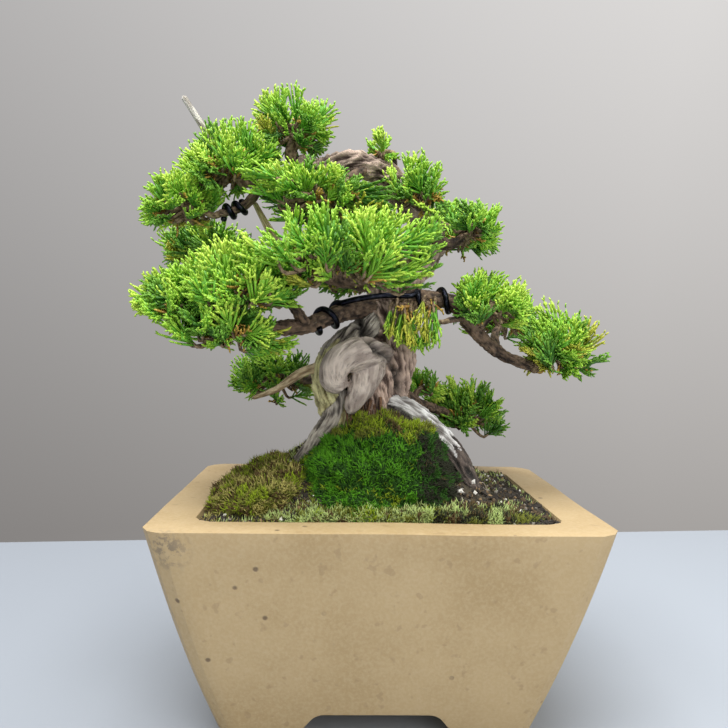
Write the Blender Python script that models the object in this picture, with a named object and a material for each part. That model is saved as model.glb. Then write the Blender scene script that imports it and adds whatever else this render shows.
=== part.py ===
# Shimpaku juniper bonsai in its clay pot.
# Sizes and places are millimetres from the middle of the pot's foot, with +Z up and the viewer on
# the -Y side. They become metres where a mesh is made.

import math
import random
from itertools import islice

import bmesh
import bpy
import numpy as np
from mathutils import Euler, Matrix, Vector

MM = 0.001
GAP = 0.3

# Pot: a rectangle with cut corners, whose walls lean in towards four feet.
POT_WIDTH = 150
POT_DEPTH = 120
POT_HEIGHT = 76
POT_CORNER = 7
RIM_WIDTH = 14
RIM_SOFTNESS = 1.3
WALL_LEAN = 0.22
WALL_BULGE = 0.0009
INNER_LEAN_SHARE = 0.9
INNER_CORNER = 5
FLOOR_TOP = 18
CAVITY_MIDDLE = 48
FOOT_WALL = 11
FOOT_HEIGHT = 10
FRONT_ARCH = (20.5, 28)
SIDE_ARCH = (11, 17)
ARCH_EASE = 3
DRAIN_RADIUS = 6
DRAIN_SPACING = 44

# Soil: a mound that is steeper on its right, with a flat top where the trunk stands.
SOIL_EDGE = 74.2
MOUND_RISE = 33
MOUND_TOP = 101
MOUND_LEFT = 28
MOUND_RIGHT = 25
MOUND_DEPTH = 21
SOIL_POINTS_PER_SIDE = 3
SOIL_RINGS = (0.94, 0.84, 0.7, 0.55, 0.4, 0.22)
SOIL_CLEARANCE = 0.5

# Moss: middle, half sizes, and the turn about X and Y in degrees.
MOSSES = {
    "moss_front": ((1, -21, 91), (25, 21, 14), (44, 0), "moss"),
    "moss_left": ((-42, -8, 80), (19, 30, 8), (0, -24), "olive_moss"),
    "moss_edge": ((8, -38, 75), (46, 7.5, 5), (0, 0), "olive_moss"),
}

# Trunk: it leans right from the mound, turns back and runs left to the apex.
TRUNK_POINTS = (
    (-4, 2, 92),
    (-3, 2, 106),
    (3, 4, 124),
    (5, 6, 143),
    (6, 8, 154),
    (11, 8, 162),
    (18, 8, 170),
    (19, 6, 180),
    (11, 2, 190),
    (0, 0, 200),
    (-13, -2, 203),
    (-25, -2, 200),
    (-33, -3, 204),
)
TRUNK_RADII = (14, 13, 11.5, 11, 9, 7.6, 7, 6.4, 5.6, 5, 4.4, 3.8, 2.6)

# Fused to the trunk: its dead flank, the old root that curls over its foot, and the spreading roots.
TRUNK_SWELLINGS = {
    "flank": (
        ((-12, -2, 98), (-18, -5, 114), (-17, -5, 126), (-8, -2, 136), (2, 3, 143)),
        (5, 6, 7, 6.5, 6),
    ),
    "curl": (
        ((5, 1, 128), (-4, -12, 131), (-14, -14, 128), (-17, -14, 121), (-12, -13, 118)),
        (4.5, 6.3, 5.3, 3.6),
    ),
    "front_leg": (((-3, -8.5, 126), (-7, -12.5, 116), (-11, -13.5, 108)), (6.3, 4.8, 2)),
    "left_leg": (
        ((-14, -5, 116), (-17, -8, 106), (-22, -9, 99), (-33, -13, 84)),
        (4.6, 3.8, 3.3, 2.2),
    ),
    "pale_leg": (((-11, -7, 112), (-12, -10, 104), (-16, -12, 96)), (2.8, 2.5, 2.2)),
    "right_root": (
        ((0, -1, 112), (10, -6, 109), (20, -10, 102), (29, -14, 93), (36, -20, 80)),
        (6, 5.2, 5.3, 4.2, 2.8),
    ),
    "back_root": (((0, 6, 108), (7, 20, 98), (12, 34, 77)), (6, 4.8, 2.6)),
    "back_left_root": (((-8, 6, 106), (-20, 17, 97), (-30, 27, 78)), (5.5, 4.2, 2.4)),
}

# Boughs: what each grows from, the points it passes through, and its radii at the root and the tip.
BOUGHS = {
    "bough_left": (
        "trunk",
        ((2, 4, 149), (-13, -4, 146), (-28, -14, 140), (-42, -20, 140), (-58, -22, 145)),
        (4, 2),
    ),
    "bough_left_side": (
        "bough_left",
        ((-27, -13.5, 140), (-30, -19, 145), (-34, -24, 150)),
        (2.2, 1.7),
    ),
    "bough_left_low": (
        "bough_left",
        ((-42, -20, 140), (-45, -25, 137), (-48, -27, 135.5)),
        (1.8, 1.4),
    ),
    "bough_front": ("trunk", ((10, 7, 161), (2, -8, 163), (-5, -19, 163)), (3.6, 2.2)),
    "bough_back_left": (
        "trunk",
        ((9, 8, 156), (-14, 18, 160), (-34, 23, 164), (-50, 23, 167)),
        (3.6, 1.8),
    ),
    "bough_low_left": ("trunk", ((-4, 4, 121), (-17, 21, 120), (-30, 38, 117)), (3, 1.7)),
    "bough_low_right": ("trunk", ((5, 6, 119), (17, 20, 110), (33, 37, 104)), (3, 1.7)),
    "bough_low_right_side": (
        "bough_low_right",
        ((16, 19, 110.6), (18, 24, 113.5), (20, 27, 115)),
        (1.5, 1.2),
    ),
    "bough_right": (
        "trunk",
        ((8, 8, 155), (16, -1, 152), (29, -4, 150), (36, -4, 141), (48, -1, 131), (61, 0, 126)),
        (3.8, 2),
    ),
    "bough_right_side": (
        "bough_right",
        ((37, -4, 140), (41, -6, 144), (43.5, -7, 147)),
        (1.9, 1.5),
    ),
    "bough_hanging": ("bough_right", ((33, -4, 145), (29, -9, 144), (25, -12, 143)), (1.4, 1.1)),
    "bough_back_right_low": (
        "bough_right",
        ((46, -1.5, 132.5), (48, 10, 138), (52, 20, 143)),
        (1.9, 1.4),
    ),
    "bough_upper_right": ("trunk", ((19, 6, 179), (26, 0, 173), (33, -1, 176)), (3, 1.8)),
    "bough_back_right": ("trunk", ((18, 5, 181), (24, 13, 182), (30, 21, 183)), (2.6, 1.7)),
    "bough_right_top": ("trunk", ((12, 2, 188), (17, -3, 188.5), (18, -5, 191)), (2.6, 1.7)),
    "bough_top_right": ("trunk", ((3, 0, 198), (5, 0, 203), (5, 0, 205.5)), (1.7, 1.2)),
    "bough_upper_front": ("trunk", ((-4, -1, 202), (-10, -7, 197.5), (-13, -9, 195)), (2, 1.4)),
    "bough_back_upper": ("trunk", ((-8, -1, 203), (-13, 9, 199), (-17, 17, 195)), (2.6, 1.7)),
    "bough_back": ("trunk", ((13, 8, 161), (7, 20, 162), (0, 31, 163)), (3, 1.9)),
    "bough_upper_left": ("trunk", ((-24, -2, 201), (-38, -6, 195), (-50, -8, 193)), (2.8, 1.8)),
    "bough_left_tip": (
        "bough_upper_left",
        ((-43, -6.8, 194), (-51, -10, 184), (-60, -12, 180.5)),
        (1.8, 1.4),
    ),
}

# Dead stubs, bleached and bare.
JINS = {
    "jin_top_left": (
        "bough_upper_left",
        ((-47, -7.6, 193.5), (-57, -4, 200), (-66, -5, 212.5), (-74.5, -6, 225)),
        (1.8, 1.1),
    ),
    "jin_left": (
        "bough_back_left",
        ((-24, 21, 162), (-33, 9, 166), (-41, 0, 175), (-48, -3, 187)),
        (2.9, 1),
    ),
    "jin_low_left": (
        "trunk",
        ((-16, -5, 126), (-28, -7, 123), (-38, -9, 116.5), (-47, -10, 113)),
        (2.4, 0.8),
    ),
    "jin_top_right": ("trunk", ((6, 0, 193), (8.5, -4, 195.5), (10.5, -5, 200)), (2.4, 1)),
}

# Wire wound round a limb: the share of its length where it starts and ends, and its angle there in
# turns from the front, counted the way a screw goes in as the limb runs.
WIRE_RADIUS = 1.2
WIRE_CLEARANCE = 0.6
WIRE_COILS = {
    "left": ("bough_left", (0.44, 0.27), (1.9, 0.15)),
    "right": ("bough_right", (0.2, 0.4), (-0.1, 1.4)),
    "trunk": ("trunk", (0.44, 0.6), (-0.42, 0.0)),
    "left_tip": ("bough_left_tip", (0.45, 0.93), (0.3, 2.8)),
}
WIRE_CROSSING = ((-7, -8.5, 151), (3, -6, 152.5), (12, -6.5, 152.5))

# Foliage: the limb that carries each mass, the middle and half sizes of its space, how many sprays
# it may hold, and the share of the space that a dense middle fills.
MASSES = {
    "foliage_apex": ("trunk", (-31, -4, 217), (19, 17, 15), 13, 0.48),
    "foliage_upper_left": ("bough_upper_left", (-59, -8, 200), (20, 18, 15), 13, 0.54),
    "foliage_left_tip": ("bough_left_tip", (-77, -12, 187), (17, 15, 13), 11, 0.5),
    "foliage_upper_front": ("bough_upper_front", (-23, -17, 190), (28, 16, 12), 14, 0.5),
    "foliage_top_right": ("bough_top_right", (1, 1, 209), (12, 10, 8), 7, 0),
    "foliage_right_top": ("bough_right_top", (14, -8, 194), (13, 15, 16), 12, 0.5),
    "foliage_upper_right": ("bough_upper_right", (36, -2, 181), (15, 15, 12), 11, 0.48),
    "foliage_front": ("bough_front", (-15, -35, 168), (34, 20, 15), 20, 0.56),
    "foliage_front_left": ("bough_left_side", (-47, -33, 156), (22, 18, 14), 14, 0.54),
    "foliage_left": ("bough_left", (-74, -22, 151), (20, 19, 14), 14, 0.54),
    "foliage_left_low": ("bough_left_low", (-56, -32, 138), (22, 17, 11), 11, 0.5),
    "foliage_back_left": ("bough_back_left", (-69, 23, 173), (24, 18, 13), 13, 0.52),
    "foliage_hanging": ("bough_hanging", (20, -14, 141), (14, 10, 10), 8, 0),
    "foliage_right": ("bough_right_side", (44, -9, 151), (20, 17, 15), 13, 0.52),
    "foliage_right_tip": ("bough_right", (72, 0, 134), (19, 19, 18), 15, 0.52),
    "foliage_back_right_low": ("bough_back_right_low", (58, 33, 148), (20, 18, 13), 12, 0.52),
    "foliage_low_right": ("bough_low_right", (44, 46, 105), (22, 17, 14), 12, 0.5),
    "foliage_low_right_side": ("bough_low_right_side", (23, 33, 118), (13, 12, 11), 8, 0),
    "foliage_low_left": ("bough_low_left", (-45, 48, 120), (23, 17, 13), 12, 0.5),
    "foliage_back": ("bough_back", (-4, 46, 166), (28, 19, 14), 13, 0.54),
    "foliage_back_upper": ("bough_back_upper", (-20, 30, 194), (27, 18, 14), 13, 0.54),
    "foliage_back_right": ("bough_back_right", (36, 32, 184), (19, 17, 14), 12, 0.52),
}
SPRAY_LENGTH = 18
SPRAY_LENGTH_SHARE = 0.8
SPRAY_TEETH = 3
SPRAY_SPREAD = 1.9
SPRAY_NOTCH = 0.62
SPRAY_THICKNESS_SHARE = 0.1
SPRAY_THICKEST = 0.42
SPRAY_DROOP = 0.1
SPRAY_SIZES = (1.25, 1.1, 1, 0.9, 0.8, 0.7)
SPRAY_LEAN = 0.25
SPRAY_RISE = 0.3
TWIG_RADII = (1.1, 0.25)
TWIG_LOWEST = -0.62
TRIES_PER_SPRAY = 3
SPACE_MARGIN = 0.06
LIMB_MARGIN = 0.45
SMALLEST_CORE = 0.2
# Steps of a sequence that stays even however many of its points are taken.
EVEN_STEPS = (0.7548776662, 0.5698402910)

COLOURS = {
    "clay": ((0.43, 0.33, 0.185), 0.62),
    "soil": ((0.07, 0.06, 0.035), 0.95),
    "moss": ((0.03, 0.09, 0.004), 0.9),
    "olive_moss": ((0.1, 0.09, 0.03), 0.9),
    "bark": ((0.2, 0.15, 0.1), 0.85),
    "deadwood": ((0.45, 0.4, 0.28), 0.75),
    "foliage": ((0.12, 0.26, 0.03), 0.6),
    "wire": ((0.02, 0.02, 0.025), 0.35),
}


def material(name):
    made = bpy.data.materials.get(name)
    if made is None:
        made = bpy.data.materials.new(name)
        made.use_nodes = True
        colour, roughness = COLOURS[name]
        shader = made.node_tree.nodes["Principled BSDF"]
        shader.inputs["Base Color"].default_value = (*colour, 1)
        shader.inputs["Roughness"].default_value = roughness
        shader.inputs["Metallic"].default_value = 0
    return made


def new_collection(name):
    made = bpy.data.collections.new(name)
    bpy.context.scene.collection.children.link(made)
    return made


def remove_collection(collection):
    for used in list(collection.objects):
        bpy.data.objects.remove(used)
    bpy.data.collections.remove(collection)


def add_object(name, shell, look, collection=None):
    """Makes an object in metres from a bmesh in millimetres, with its faces turned outwards."""
    bmesh.ops.recalc_face_normals(shell, faces=shell.faces)
    bmesh.ops.scale(shell, vec=(MM, MM, MM), verts=shell.verts)
    mesh = bpy.data.meshes.new(name)
    shell.to_mesh(mesh)
    shell.free()
    mesh.materials.append(material(look))
    made = bpy.data.objects.new(name, mesh)
    (collection or bpy.context.scene.collection).objects.link(made)
    return made


# Shapes in millimetres


def loft(rings):
    """A closed skin of four-sided faces from each ring to the next, with a face across both ends."""
    shell = bmesh.new()
    levels = [[shell.verts.new(p) for p in ring] for ring in rings]
    for low, high in zip(levels, levels[1:]):
        for a, b, c, d in zip(low, low[1:] + low[:1], high[1:] + high[:1], high):
            shell.faces.new((a, b, c, d))
    shell.faces.new(levels[0][::-1])
    shell.faces.new(levels[-1])
    return shell


def ball(middle, half, turn=(0, 0), sides=12, rows=7):
    """A ball stretched to half sizes, then turned about X and about Y."""
    shell = bmesh.new()
    turned = Euler((math.radians(turn[0]), math.radians(turn[1]), 0))
    place = Matrix.LocRotScale(Vector(middle), turned, Vector(half))
    bmesh.ops.create_uvsphere(shell, u_segments=sides, v_segments=rows, radius=1, matrix=place)
    return shell


def cone(start, end, thick, thin, sides):
    """A straight tapering rod from start to end."""
    shell = bmesh.new()
    run = end - start
    place = Matrix.Translation((start + end) / 2) @ run.to_track_quat("Z", "Y").to_matrix().to_4x4()
    bmesh.ops.create_cone(
        shell, cap_ends=True, segments=sides, radius1=thick, radius2=thin, depth=run.length, matrix=place
    )
    return shell


def smooth_path(points, steps):
    """A curve through the points, with this many steps between each two."""
    knots = [Vector(p) for p in points]
    ends = [knots[0] * 2 - knots[1], *knots, knots[-1] * 2 - knots[-2]]
    path = []
    for a, b, c, d in zip(ends, ends[1:], ends[2:], ends[3:]):
        for step in range(steps):
            t = step / steps
            bend = (2 * a - 5 * b + 4 * c - d) * t**2 + (3 * b - a - 3 * c + d) * t**3
            path.append((2 * b + (c - a) * t + bend) / 2)
    path.append(knots[-1])
    return path


def spread(values, count):
    """The value at each of count points, evenly between the given ones."""
    return [float(v) for v in np.interp(np.linspace(0, len(values) - 1, count), range(len(values)), values)]


def limb(path, radii, fineness=1, grow=0.0):
    """A round tube along a path, tapering evenly through the radii, with 4 + 2 * fineness sides."""
    curve = bpy.data.curves.new("limb", "CURVE")
    curve.dimensions = "3D"
    curve.bevel_depth = 1
    curve.bevel_resolution = fineness
    curve.use_fill_caps = True
    spline = curve.splines.new("POLY")
    spline.points.add(len(path) - 1)
    for point, place, radius in zip(spline.points, path, spread(radii, len(path))):
        point.co = (*place, 1)
        point.radius = radius + grow
    drawn = bpy.data.objects.new("limb", curve)
    shell = bmesh.new()
    shell.from_mesh(bpy.data.meshes.new_from_object(drawn))
    bmesh.ops.remove_doubles(shell, verts=shell.verts, dist=GAP / 10)
    bpy.data.objects.remove(drawn)
    return shell


# Cutting and joining


def boolean(target, operation, other, solver="EXACT"):
    """Joins or cuts target with an object or a collection, and keeps the result as its mesh."""
    change = target.modifiers.new("change", "BOOLEAN")
    change.operation = operation
    change.solver = solver
    if isinstance(other, bpy.types.Collection):
        change.operand_type = "COLLECTION"
        change.collection = other
    else:
        change.object = other
    graph = bpy.context.evaluated_depsgraph_get()
    result = bpy.data.meshes.new_from_object(target.evaluated_get(graph))
    target.modifiers.clear()
    target.data = result
    keep_largest_piece(target)


def keep_largest_piece(target):
    """Drops the loose scraps that a cut or a join leaves."""
    shell = bmesh.new()
    shell.from_mesh(target.data)
    waiting = set(shell.verts)
    pieces = []
    while waiting:
        edge_of_piece = [waiting.pop()]
        piece = list(edge_of_piece)
        while edge_of_piece:
            for edge in edge_of_piece.pop().link_edges:
                for end in edge.verts:
                    if end in waiting:
                        waiting.discard(end)
                        piece.append(end)
                        edge_of_piece.append(end)
        pieces.append(piece)
    pieces.sort(key=len)
    for piece in pieces[:-1]:
        bmesh.ops.delete(shell, geom=piece, context="VERTS")
    shell.to_mesh(target.data)
    shell.free()


def shape_with(target, operation, shell):
    """Cuts a shape out of target, or keeps only what lies inside the shape."""
    tool = add_object("tool", shell, "soil")
    boolean(target, operation, tool)
    bpy.data.objects.remove(tool)


def is_closed(target):
    shell = bmesh.new()
    shell.from_mesh(target.data)
    closed = len(shell.faces) > 0 and all(edge.is_manifold for edge in shell.edges)
    shell.free()
    return closed


# Pot


def pot_ring(inset, height, corner=POT_CORNER):
    """Eight points round the pot's outline, drawn in by inset, with its corners cut off."""
    w, d, c = POT_WIDTH / 2 - inset, POT_DEPTH / 2 - inset, corner
    outline = [(c - w, -d), (w - c, -d), (w, c - d), (w, d - c)]
    outline += [(w - c, d), (c - w, d), (-w, d - c), (-w, c - d)]
    return [Vector((x, y, height)) for x, y in outline]


def wall_inset(height):
    down = POT_HEIGHT - height
    return WALL_LEAN * down + WALL_BULGE * down**2


def cavity_inset(height):
    return RIM_WIDTH + INNER_LEAN_SHARE * wall_inset(height)


def foot_arch(half_widths, reach, along_x):
    """The opening between two feet: wider at the ground, with its upper corners eased."""
    top, bottom = half_widths
    low, eased = -1, FOOT_HEIGHT - ARCH_EASE
    profile = [(-bottom, low), (bottom, low), (top, eased), (top - ARCH_EASE, FOOT_HEIGHT)]
    profile += [(ARCH_EASE - top, FOOT_HEIGHT), (-top, eased)]
    ends = []
    for end in (-reach, reach):
        ends.append([Vector((end, a, z)) if along_x else Vector((a, end, z)) for a, z in profile])
    return loft(ends)


def make_pot():
    rings = [pot_ring(wall_inset(z), z) for z in (0, 15, 30, 45, 60, POT_HEIGHT - RIM_SOFTNESS)]
    rings.append(pot_ring(RIM_SOFTNESS, POT_HEIGHT))
    rings.append(pot_ring(RIM_WIDTH - RIM_SOFTNESS, POT_HEIGHT, INNER_CORNER))
    inner_heights = (POT_HEIGHT - RIM_SOFTNESS, CAVITY_MIDDLE, FLOOR_TOP)
    rings += [pot_ring(cavity_inset(z), z, INNER_CORNER) for z in inner_heights]
    pot = add_object("pot", loft(rings), "clay")
    pocket = [pot_ring(wall_inset(0) + FOOT_WALL, z) for z in (-1, FOOT_HEIGHT)]
    shape_with(pot, "DIFFERENCE", loft(pocket))
    shape_with(pot, "DIFFERENCE", foot_arch(FRONT_ARCH, POT_DEPTH, along_x=False))
    shape_with(pot, "DIFFERENCE", foot_arch(SIDE_ARCH, POT_WIDTH, along_x=True))
    for x in (-DRAIN_SPACING / 2, DRAIN_SPACING / 2):
        ends = Vector((x, 0, 0)), Vector((x, 0, FLOOR_TOP + 1))
        shape_with(pot, "DIFFERENCE", cone(*ends, DRAIN_RADIUS, DRAIN_RADIUS, 12))


# Soil and moss


def ground_height(x, y, out):
    """Height of the soil, where out is the share of the way from the middle to the pot's wall."""
    across = MOUND_LEFT if x < 0 else MOUND_RIGHT
    rise = MOUND_RISE * math.exp(-((x / across) ** 2 + (y / MOUND_DEPTH) ** 2) / 2)
    return SOIL_EDGE + min(rise, MOUND_TOP - SOIL_EDGE) * (1 - out**8)


def soil_ring(height, out=1.0, lift=0.0):
    """Points round the pot's cavity at this height, or drawn in to a share of it over the mound."""
    corners = pot_ring(cavity_inset(height) + GAP, height, INNER_CORNER)
    ring = []
    for corner, after in zip(corners, corners[1:] + corners[:1]):
        for step in range(SOIL_POINTS_PER_SIDE):
            p = corner.lerp(after, step / SOIL_POINTS_PER_SIDE) * out
            top = height if out == 1 else ground_height(p.x, p.y, out)
            ring.append(Vector((p.x, p.y, top + lift)))
    return ring


def soil_shape(lift=0.0):
    """The soil, or the same with its top lifted."""
    rings = [soil_ring(FLOOR_TOP + GAP), soil_ring(CAVITY_MIDDLE), soil_ring(SOIL_EDGE, lift=lift)]
    shell = loft(rings + [soil_ring(SOIL_EDGE, out, lift) for out in SOIL_RINGS])
    bmesh.ops.triangulate(shell, faces=shell.faces, quad_method="FIXED")
    return shell


def make_moss(trunk_grown):
    """Cushions that lie on the soil, clear of it, of the pot, of the trunk and of each other."""
    laid = []
    for name, (middle, half, turn, look) in MOSSES.items():
        moss = add_object(name, ball(middle, half, turn), look)
        shape_with(moss, "DIFFERENCE", soil_shape(SOIL_CLEARANCE))
        boolean(moss, "DIFFERENCE", trunk_grown)
        inside = [pot_ring(RIM_WIDTH + GAP, z, INNER_CORNER) for z in (SOIL_EDGE - 10, MOUND_TOP + 30)]
        shape_with(moss, "INTERSECT", loft(inside))
        for lower in laid:
            shape_with(moss, "DIFFERENCE", ball(lower[0], [h + GAP for h in lower[1]], lower[2]))
        laid.append((middle, half, turn))


# Trunk, boughs and wire


def limb_size(name):
    """A limb's points and radii."""
    if name == "trunk":
        return TRUNK_POINTS, TRUNK_RADII
    return (BOUGHS.get(name) or JINS[name])[1:]


def limb_shape(points, radii, fineness, grow=0.0):
    return limb(smooth_path(points, 2), radii, fineness, grow)


def make_trunk(name, grow=0.0):
    """The trunk with its swellings and roots in one skin, grown by this much all over."""
    parts = new_collection("trunk_parts")
    trunk = add_object(name, limb_shape(TRUNK_POINTS, TRUNK_RADII, 2, grow), "bark")
    for label, (points, radii) in TRUNK_SWELLINGS.items():
        add_object(label, limb(points, radii, 1, grow), "bark", parts)
    boolean(trunk, "UNION", parts)
    remove_collection(parts)
    return trunk


def make_bough(name, parent, points, radii, look, trunk_grown):
    """A tapering limb, cut off just clear of what it grows from."""
    bough = add_object(name, limb_shape(points, radii, 1), look)
    if parent == "trunk":
        boolean(bough, "DIFFERENCE", trunk_grown)
    else:
        shape_with(bough, "DIFFERENCE", limb_shape(*limb_size(parent), 1, GAP))


def coil(name, shares, turns):
    """A wire's path round a limb, from one share of its length and angle to another."""
    points, radii = limb_size(name)
    path = smooth_path(points, 8)
    limb_radii = spread(radii, len(path))
    ahead = [(b - a).normalized() for a, b in zip(path[:1] + path, path[1:] + path[-1:])]
    steps = 1 + round(abs(turns[1] - turns[0]) * 9)
    wound = []
    for step in range(steps + 1):
        at = (shares[0] + (shares[1] - shares[0]) * step / steps) * (len(path) - 1)
        low = min(int(at), len(path) - 2)
        centre = path[low].lerp(path[low + 1], at - low)
        along = ahead[low].lerp(ahead[low + 1], at - low).normalized()
        front = Vector((0, -1, 0))
        front = (front - along * front.dot(along)).normalized()
        angle = math.tau * (turns[0] + (turns[1] - turns[0]) * step / steps)
        out = front * math.cos(angle) + along.cross(front) * math.sin(angle)
        wound.append(centre + out * (limb_radii[low] + WIRE_RADIUS + WIRE_CLEARANCE))
    return wound


def wire_paths():
    """Three wires: one holds both lower boughs and crosses in front of the trunk between them."""
    wound = {label: coil(*details) for label, details in WIRE_COILS.items()}
    crossing = smooth_path((wound["left"][-1], *WIRE_CROSSING, wound["right"][0]), 3)
    return {
        "wire_lower_boughs": wound["left"][:-1] + crossing + wound["right"][1:],
        "wire_trunk": wound["trunk"],
        "wire_left_tip": wound["left_tip"],
    }


# Foliage


def stem_path(name):
    """The stem of a mass goes on from its limb's tip and bends to the middle of its space."""
    carrier, middle = MASSES[name][:2]
    points, radii = limb_size(carrier)
    before, tip = smooth_path(points, 2)[-2:]
    ahead = (tip - before).normalized()
    start = tip + ahead * GAP
    middle = Vector(middle)
    return [start, start + ahead * 2.5, start.lerp(middle, 0.6) + ahead, middle], radii[-1]


def limb_table():
    """Every limb, wire and stem in short tapering lengths: owner, both ends and both radii."""
    limbs = [("limb", smooth_path(TRUNK_POINTS, 2), TRUNK_RADII)]
    for points, radii in TRUNK_SWELLINGS.values():
        limbs.append(("limb", points, radii))
    for _, points, radii in [*BOUGHS.values(), *JINS.values()]:
        limbs.append(("limb", smooth_path(points, 2), radii))
    for path in wire_paths().values():
        limbs.append(("limb", path, (WIRE_RADIUS, WIRE_RADIUS)))
    for name in MASSES:
        path, radius = stem_path(name)
        limbs.append((name, path, (radius, radius)))
    rows = []
    for owner, path, radii in limbs:
        widths = spread(radii, len(path))
        for a, b, thick, thin in zip(path, path[1:], widths, widths[1:]):
            rows.append((owner, (*a, *b, thick, thin)))
    return rows


def clear_of(limbs, points, margin):
    """Whether all the points lie outside every limb by the margin."""
    start, run = limbs[:, 0:3], limbs[:, 3:6] - limbs[:, 0:3]
    offset = np.array(points)[:, None, :] - start
    share = np.clip((offset * run).sum(2) / (run**2).sum(1), 0, 1)
    distance = np.linalg.norm(offset - share[:, :, None] * run, axis=2)
    radius = limbs[:, 6] + (limbs[:, 7] - limbs[:, 6]) * share
    return bool((distance > radius + margin).all())


def in_own_space(name, points):
    """Whether all the points are inside a mass's space and nearer that mass than any other."""
    middles = np.array([details[1] for details in MASSES.values()])
    halves = np.array([details[2] for details in MASSES.values()])
    depths = np.linalg.norm((np.array(points)[:, None, :] - middles) / halves, axis=2)
    own = list(MASSES).index(name)
    others = np.delete(depths, own, axis=1).min(axis=1)
    return bool((depths[:, own] < 1).all() and (depths[:, own] + SPACE_MARGIN < others).all())


def room_for_core(middle, half, limbs):
    """The largest share of a space that a dense middle can fill and stay clear of every limb."""
    starts, ends = limbs[:, [0, 1, 2, 6]], limbs[:, [3, 4, 5, 7]]
    along = np.concatenate([starts + (ends - starts) * share for share in np.linspace(0, 1, 5)])
    scaled = (along[:, :3] - middle) / half
    depths = np.linalg.norm(scaled, axis=1)
    depth_per_mm = np.linalg.norm(scaled / half, axis=1) / depths
    return float((depths - (along[:, 3] + LIMB_MARGIN) * depth_per_mm).min())


def even_directions(rng):
    """Directions that stay even over a ball, however many of them are taken."""
    across, around = rng.random(), rng.random()
    while True:
        across = (across + EVEN_STEPS[0]) % 1
        around = (around + EVEN_STEPS[1]) % 1
        height = TWIG_LOWEST + (1 - TWIG_LOWEST) * across
        level = math.sqrt(1 - height**2)
        yield Vector((level * math.cos(math.tau * around), level * math.sin(math.tau * around), height))


def spray(root, ahead, face, length):
    """A fan-shaped blade with teeth, thickest near its middle, that stands for a spray of cords."""
    side = ahead.cross(face).normalized()
    up = side.cross(ahead)
    shell = bmesh.new()
    rim = [shell.verts.new(root)]
    points = 2 * SPRAY_TEETH - 1
    for i in range(points):
        angle = SPRAY_SPREAD * (i / (points - 1) - 0.5)
        reach = length * (SPRAY_NOTCH if i % 2 else 1)
        out = ahead * math.cos(angle) + side * math.sin(angle) - up * SPRAY_DROOP
        rim.append(shell.verts.new(root + out * reach))
    for turn in (1, -1):
        swell = up * SPRAY_THICKNESS_SHARE * turn / 2
        middle = shell.verts.new(root + (ahead * SPRAY_THICKEST + swell) * length)
        for a, b in zip(rim, rim[1:] + rim[:1]):
            shell.faces.new((a, b, middle)[::turn])
    return shell


def sample(shell):
    """Points on a spray's corners and along its edges."""
    points = []
    for edge in shell.edges:
        a, b = (v.co for v in edge.verts)
        points += [a.lerp(b, share) for share in (0, 0.33, 0.67, 1)]
    return points


def grow_spray(name, limbs, tip, out, usual, rng):
    """The largest spray that fits where a twig ends, or none."""
    side = Matrix.Rotation(rng.uniform(0, math.tau), 3, out) @ out.orthogonal().normalized()
    ahead = (out + side * SPRAY_LEAN).normalized()
    for size in SPRAY_SIZES:
        length = usual * size
        leaf = spray(tip - ahead * SPRAY_THICKEST * length, ahead, side.cross(ahead), length)
        points = sample(leaf)
        if in_own_space(name, points) and clear_of(limbs, points, LIMB_MARGIN):
            return leaf
        leaf.free()
    return None


def grow_mass(name, limbs):
    """A stem, and twigs that branch from it every way, each with a spray at its end."""
    carrier, middle, half, wanted, core_share = MASSES[name]
    middle, half = Vector(middle), Vector(half)
    others = np.array([row for owner, row in limbs if owner != name])
    rng = random.Random(name)
    path, radius = stem_path(name)
    pieces = new_collection("pieces")
    mass = add_object(name, limb(path, (radius, radius * 0.6), 0), "foliage")
    core_share = min(core_share, room_for_core(middle, half, others))
    if core_share > SMALLEST_CORE:
        add_object("core", ball(middle, half * core_share, sides=8, rows=5), "foliage", pieces)
    made = 0
    for direction in islice(even_directions(rng), wanted * TRIES_PER_SPRAY):
        if made == wanted:
            break
        edge = direction * half
        usual = min(SPRAY_LENGTH, edge.length * SPRAY_LENGTH_SHARE)
        tip = middle + edge - edge.normalized() * usual * (1 - SPRAY_THICKEST) * rng.uniform(1, 1.15)
        root = path[2].lerp(middle, rng.uniform(0.4, 1))
        twig = [root.lerp(tip, share) for share in (0.35, 0.6, 0.8, 1)]
        if not (in_own_space(name, twig) and clear_of(others, twig, TWIG_RADII[0] + LIMB_MARGIN)):
            continue
        out = Vector([edge[k] / half[k] ** 2 for k in range(3)]).normalized()
        out = (out + Vector((0, 0, SPRAY_RISE))).normalized()
        leaf = grow_spray(name, others, tip, out, usual, rng)
        if leaf is not None:
            add_object("spray", leaf, "foliage", pieces)
            add_object("twig", cone(root, tip, *TWIG_RADII, 3), "foliage", pieces)
            made += 1
    fuse(mass, pieces)
    triangles = sum(len(face.vertices) - 2 for face in mass.data.polygons)
    print(f"{name}: {made} sprays of {wanted}, {triangles} triangles")


def fuse(target, pieces):
    """One union of target with the pieces, which are then removed."""
    unjoined = target.data.copy()
    for solver in ("EXACT", "MANIFOLD"):
        target.data = unjoined.copy()
        boolean(target, "UNION", pieces, solver)
        if is_closed(target):
            break
    remove_collection(pieces)


def stand_in_the_middle():
    """Hangs everything on one empty, so that the middle of the plant's box is over the origin."""
    solids = [o for o in bpy.context.scene.objects if o.type == "MESH"]
    corners = np.array([v.co[:2] for o in solids for v in o.data.vertices])
    middle = (corners.min(axis=0) + corners.max(axis=0)) / 2
    bonsai = bpy.data.objects.new("bonsai", None)
    bpy.context.scene.collection.objects.link(bonsai)
    bonsai.location = (-middle[0], -middle[1], 0)
    for solid in solids:
        solid.parent = bonsai


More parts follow.
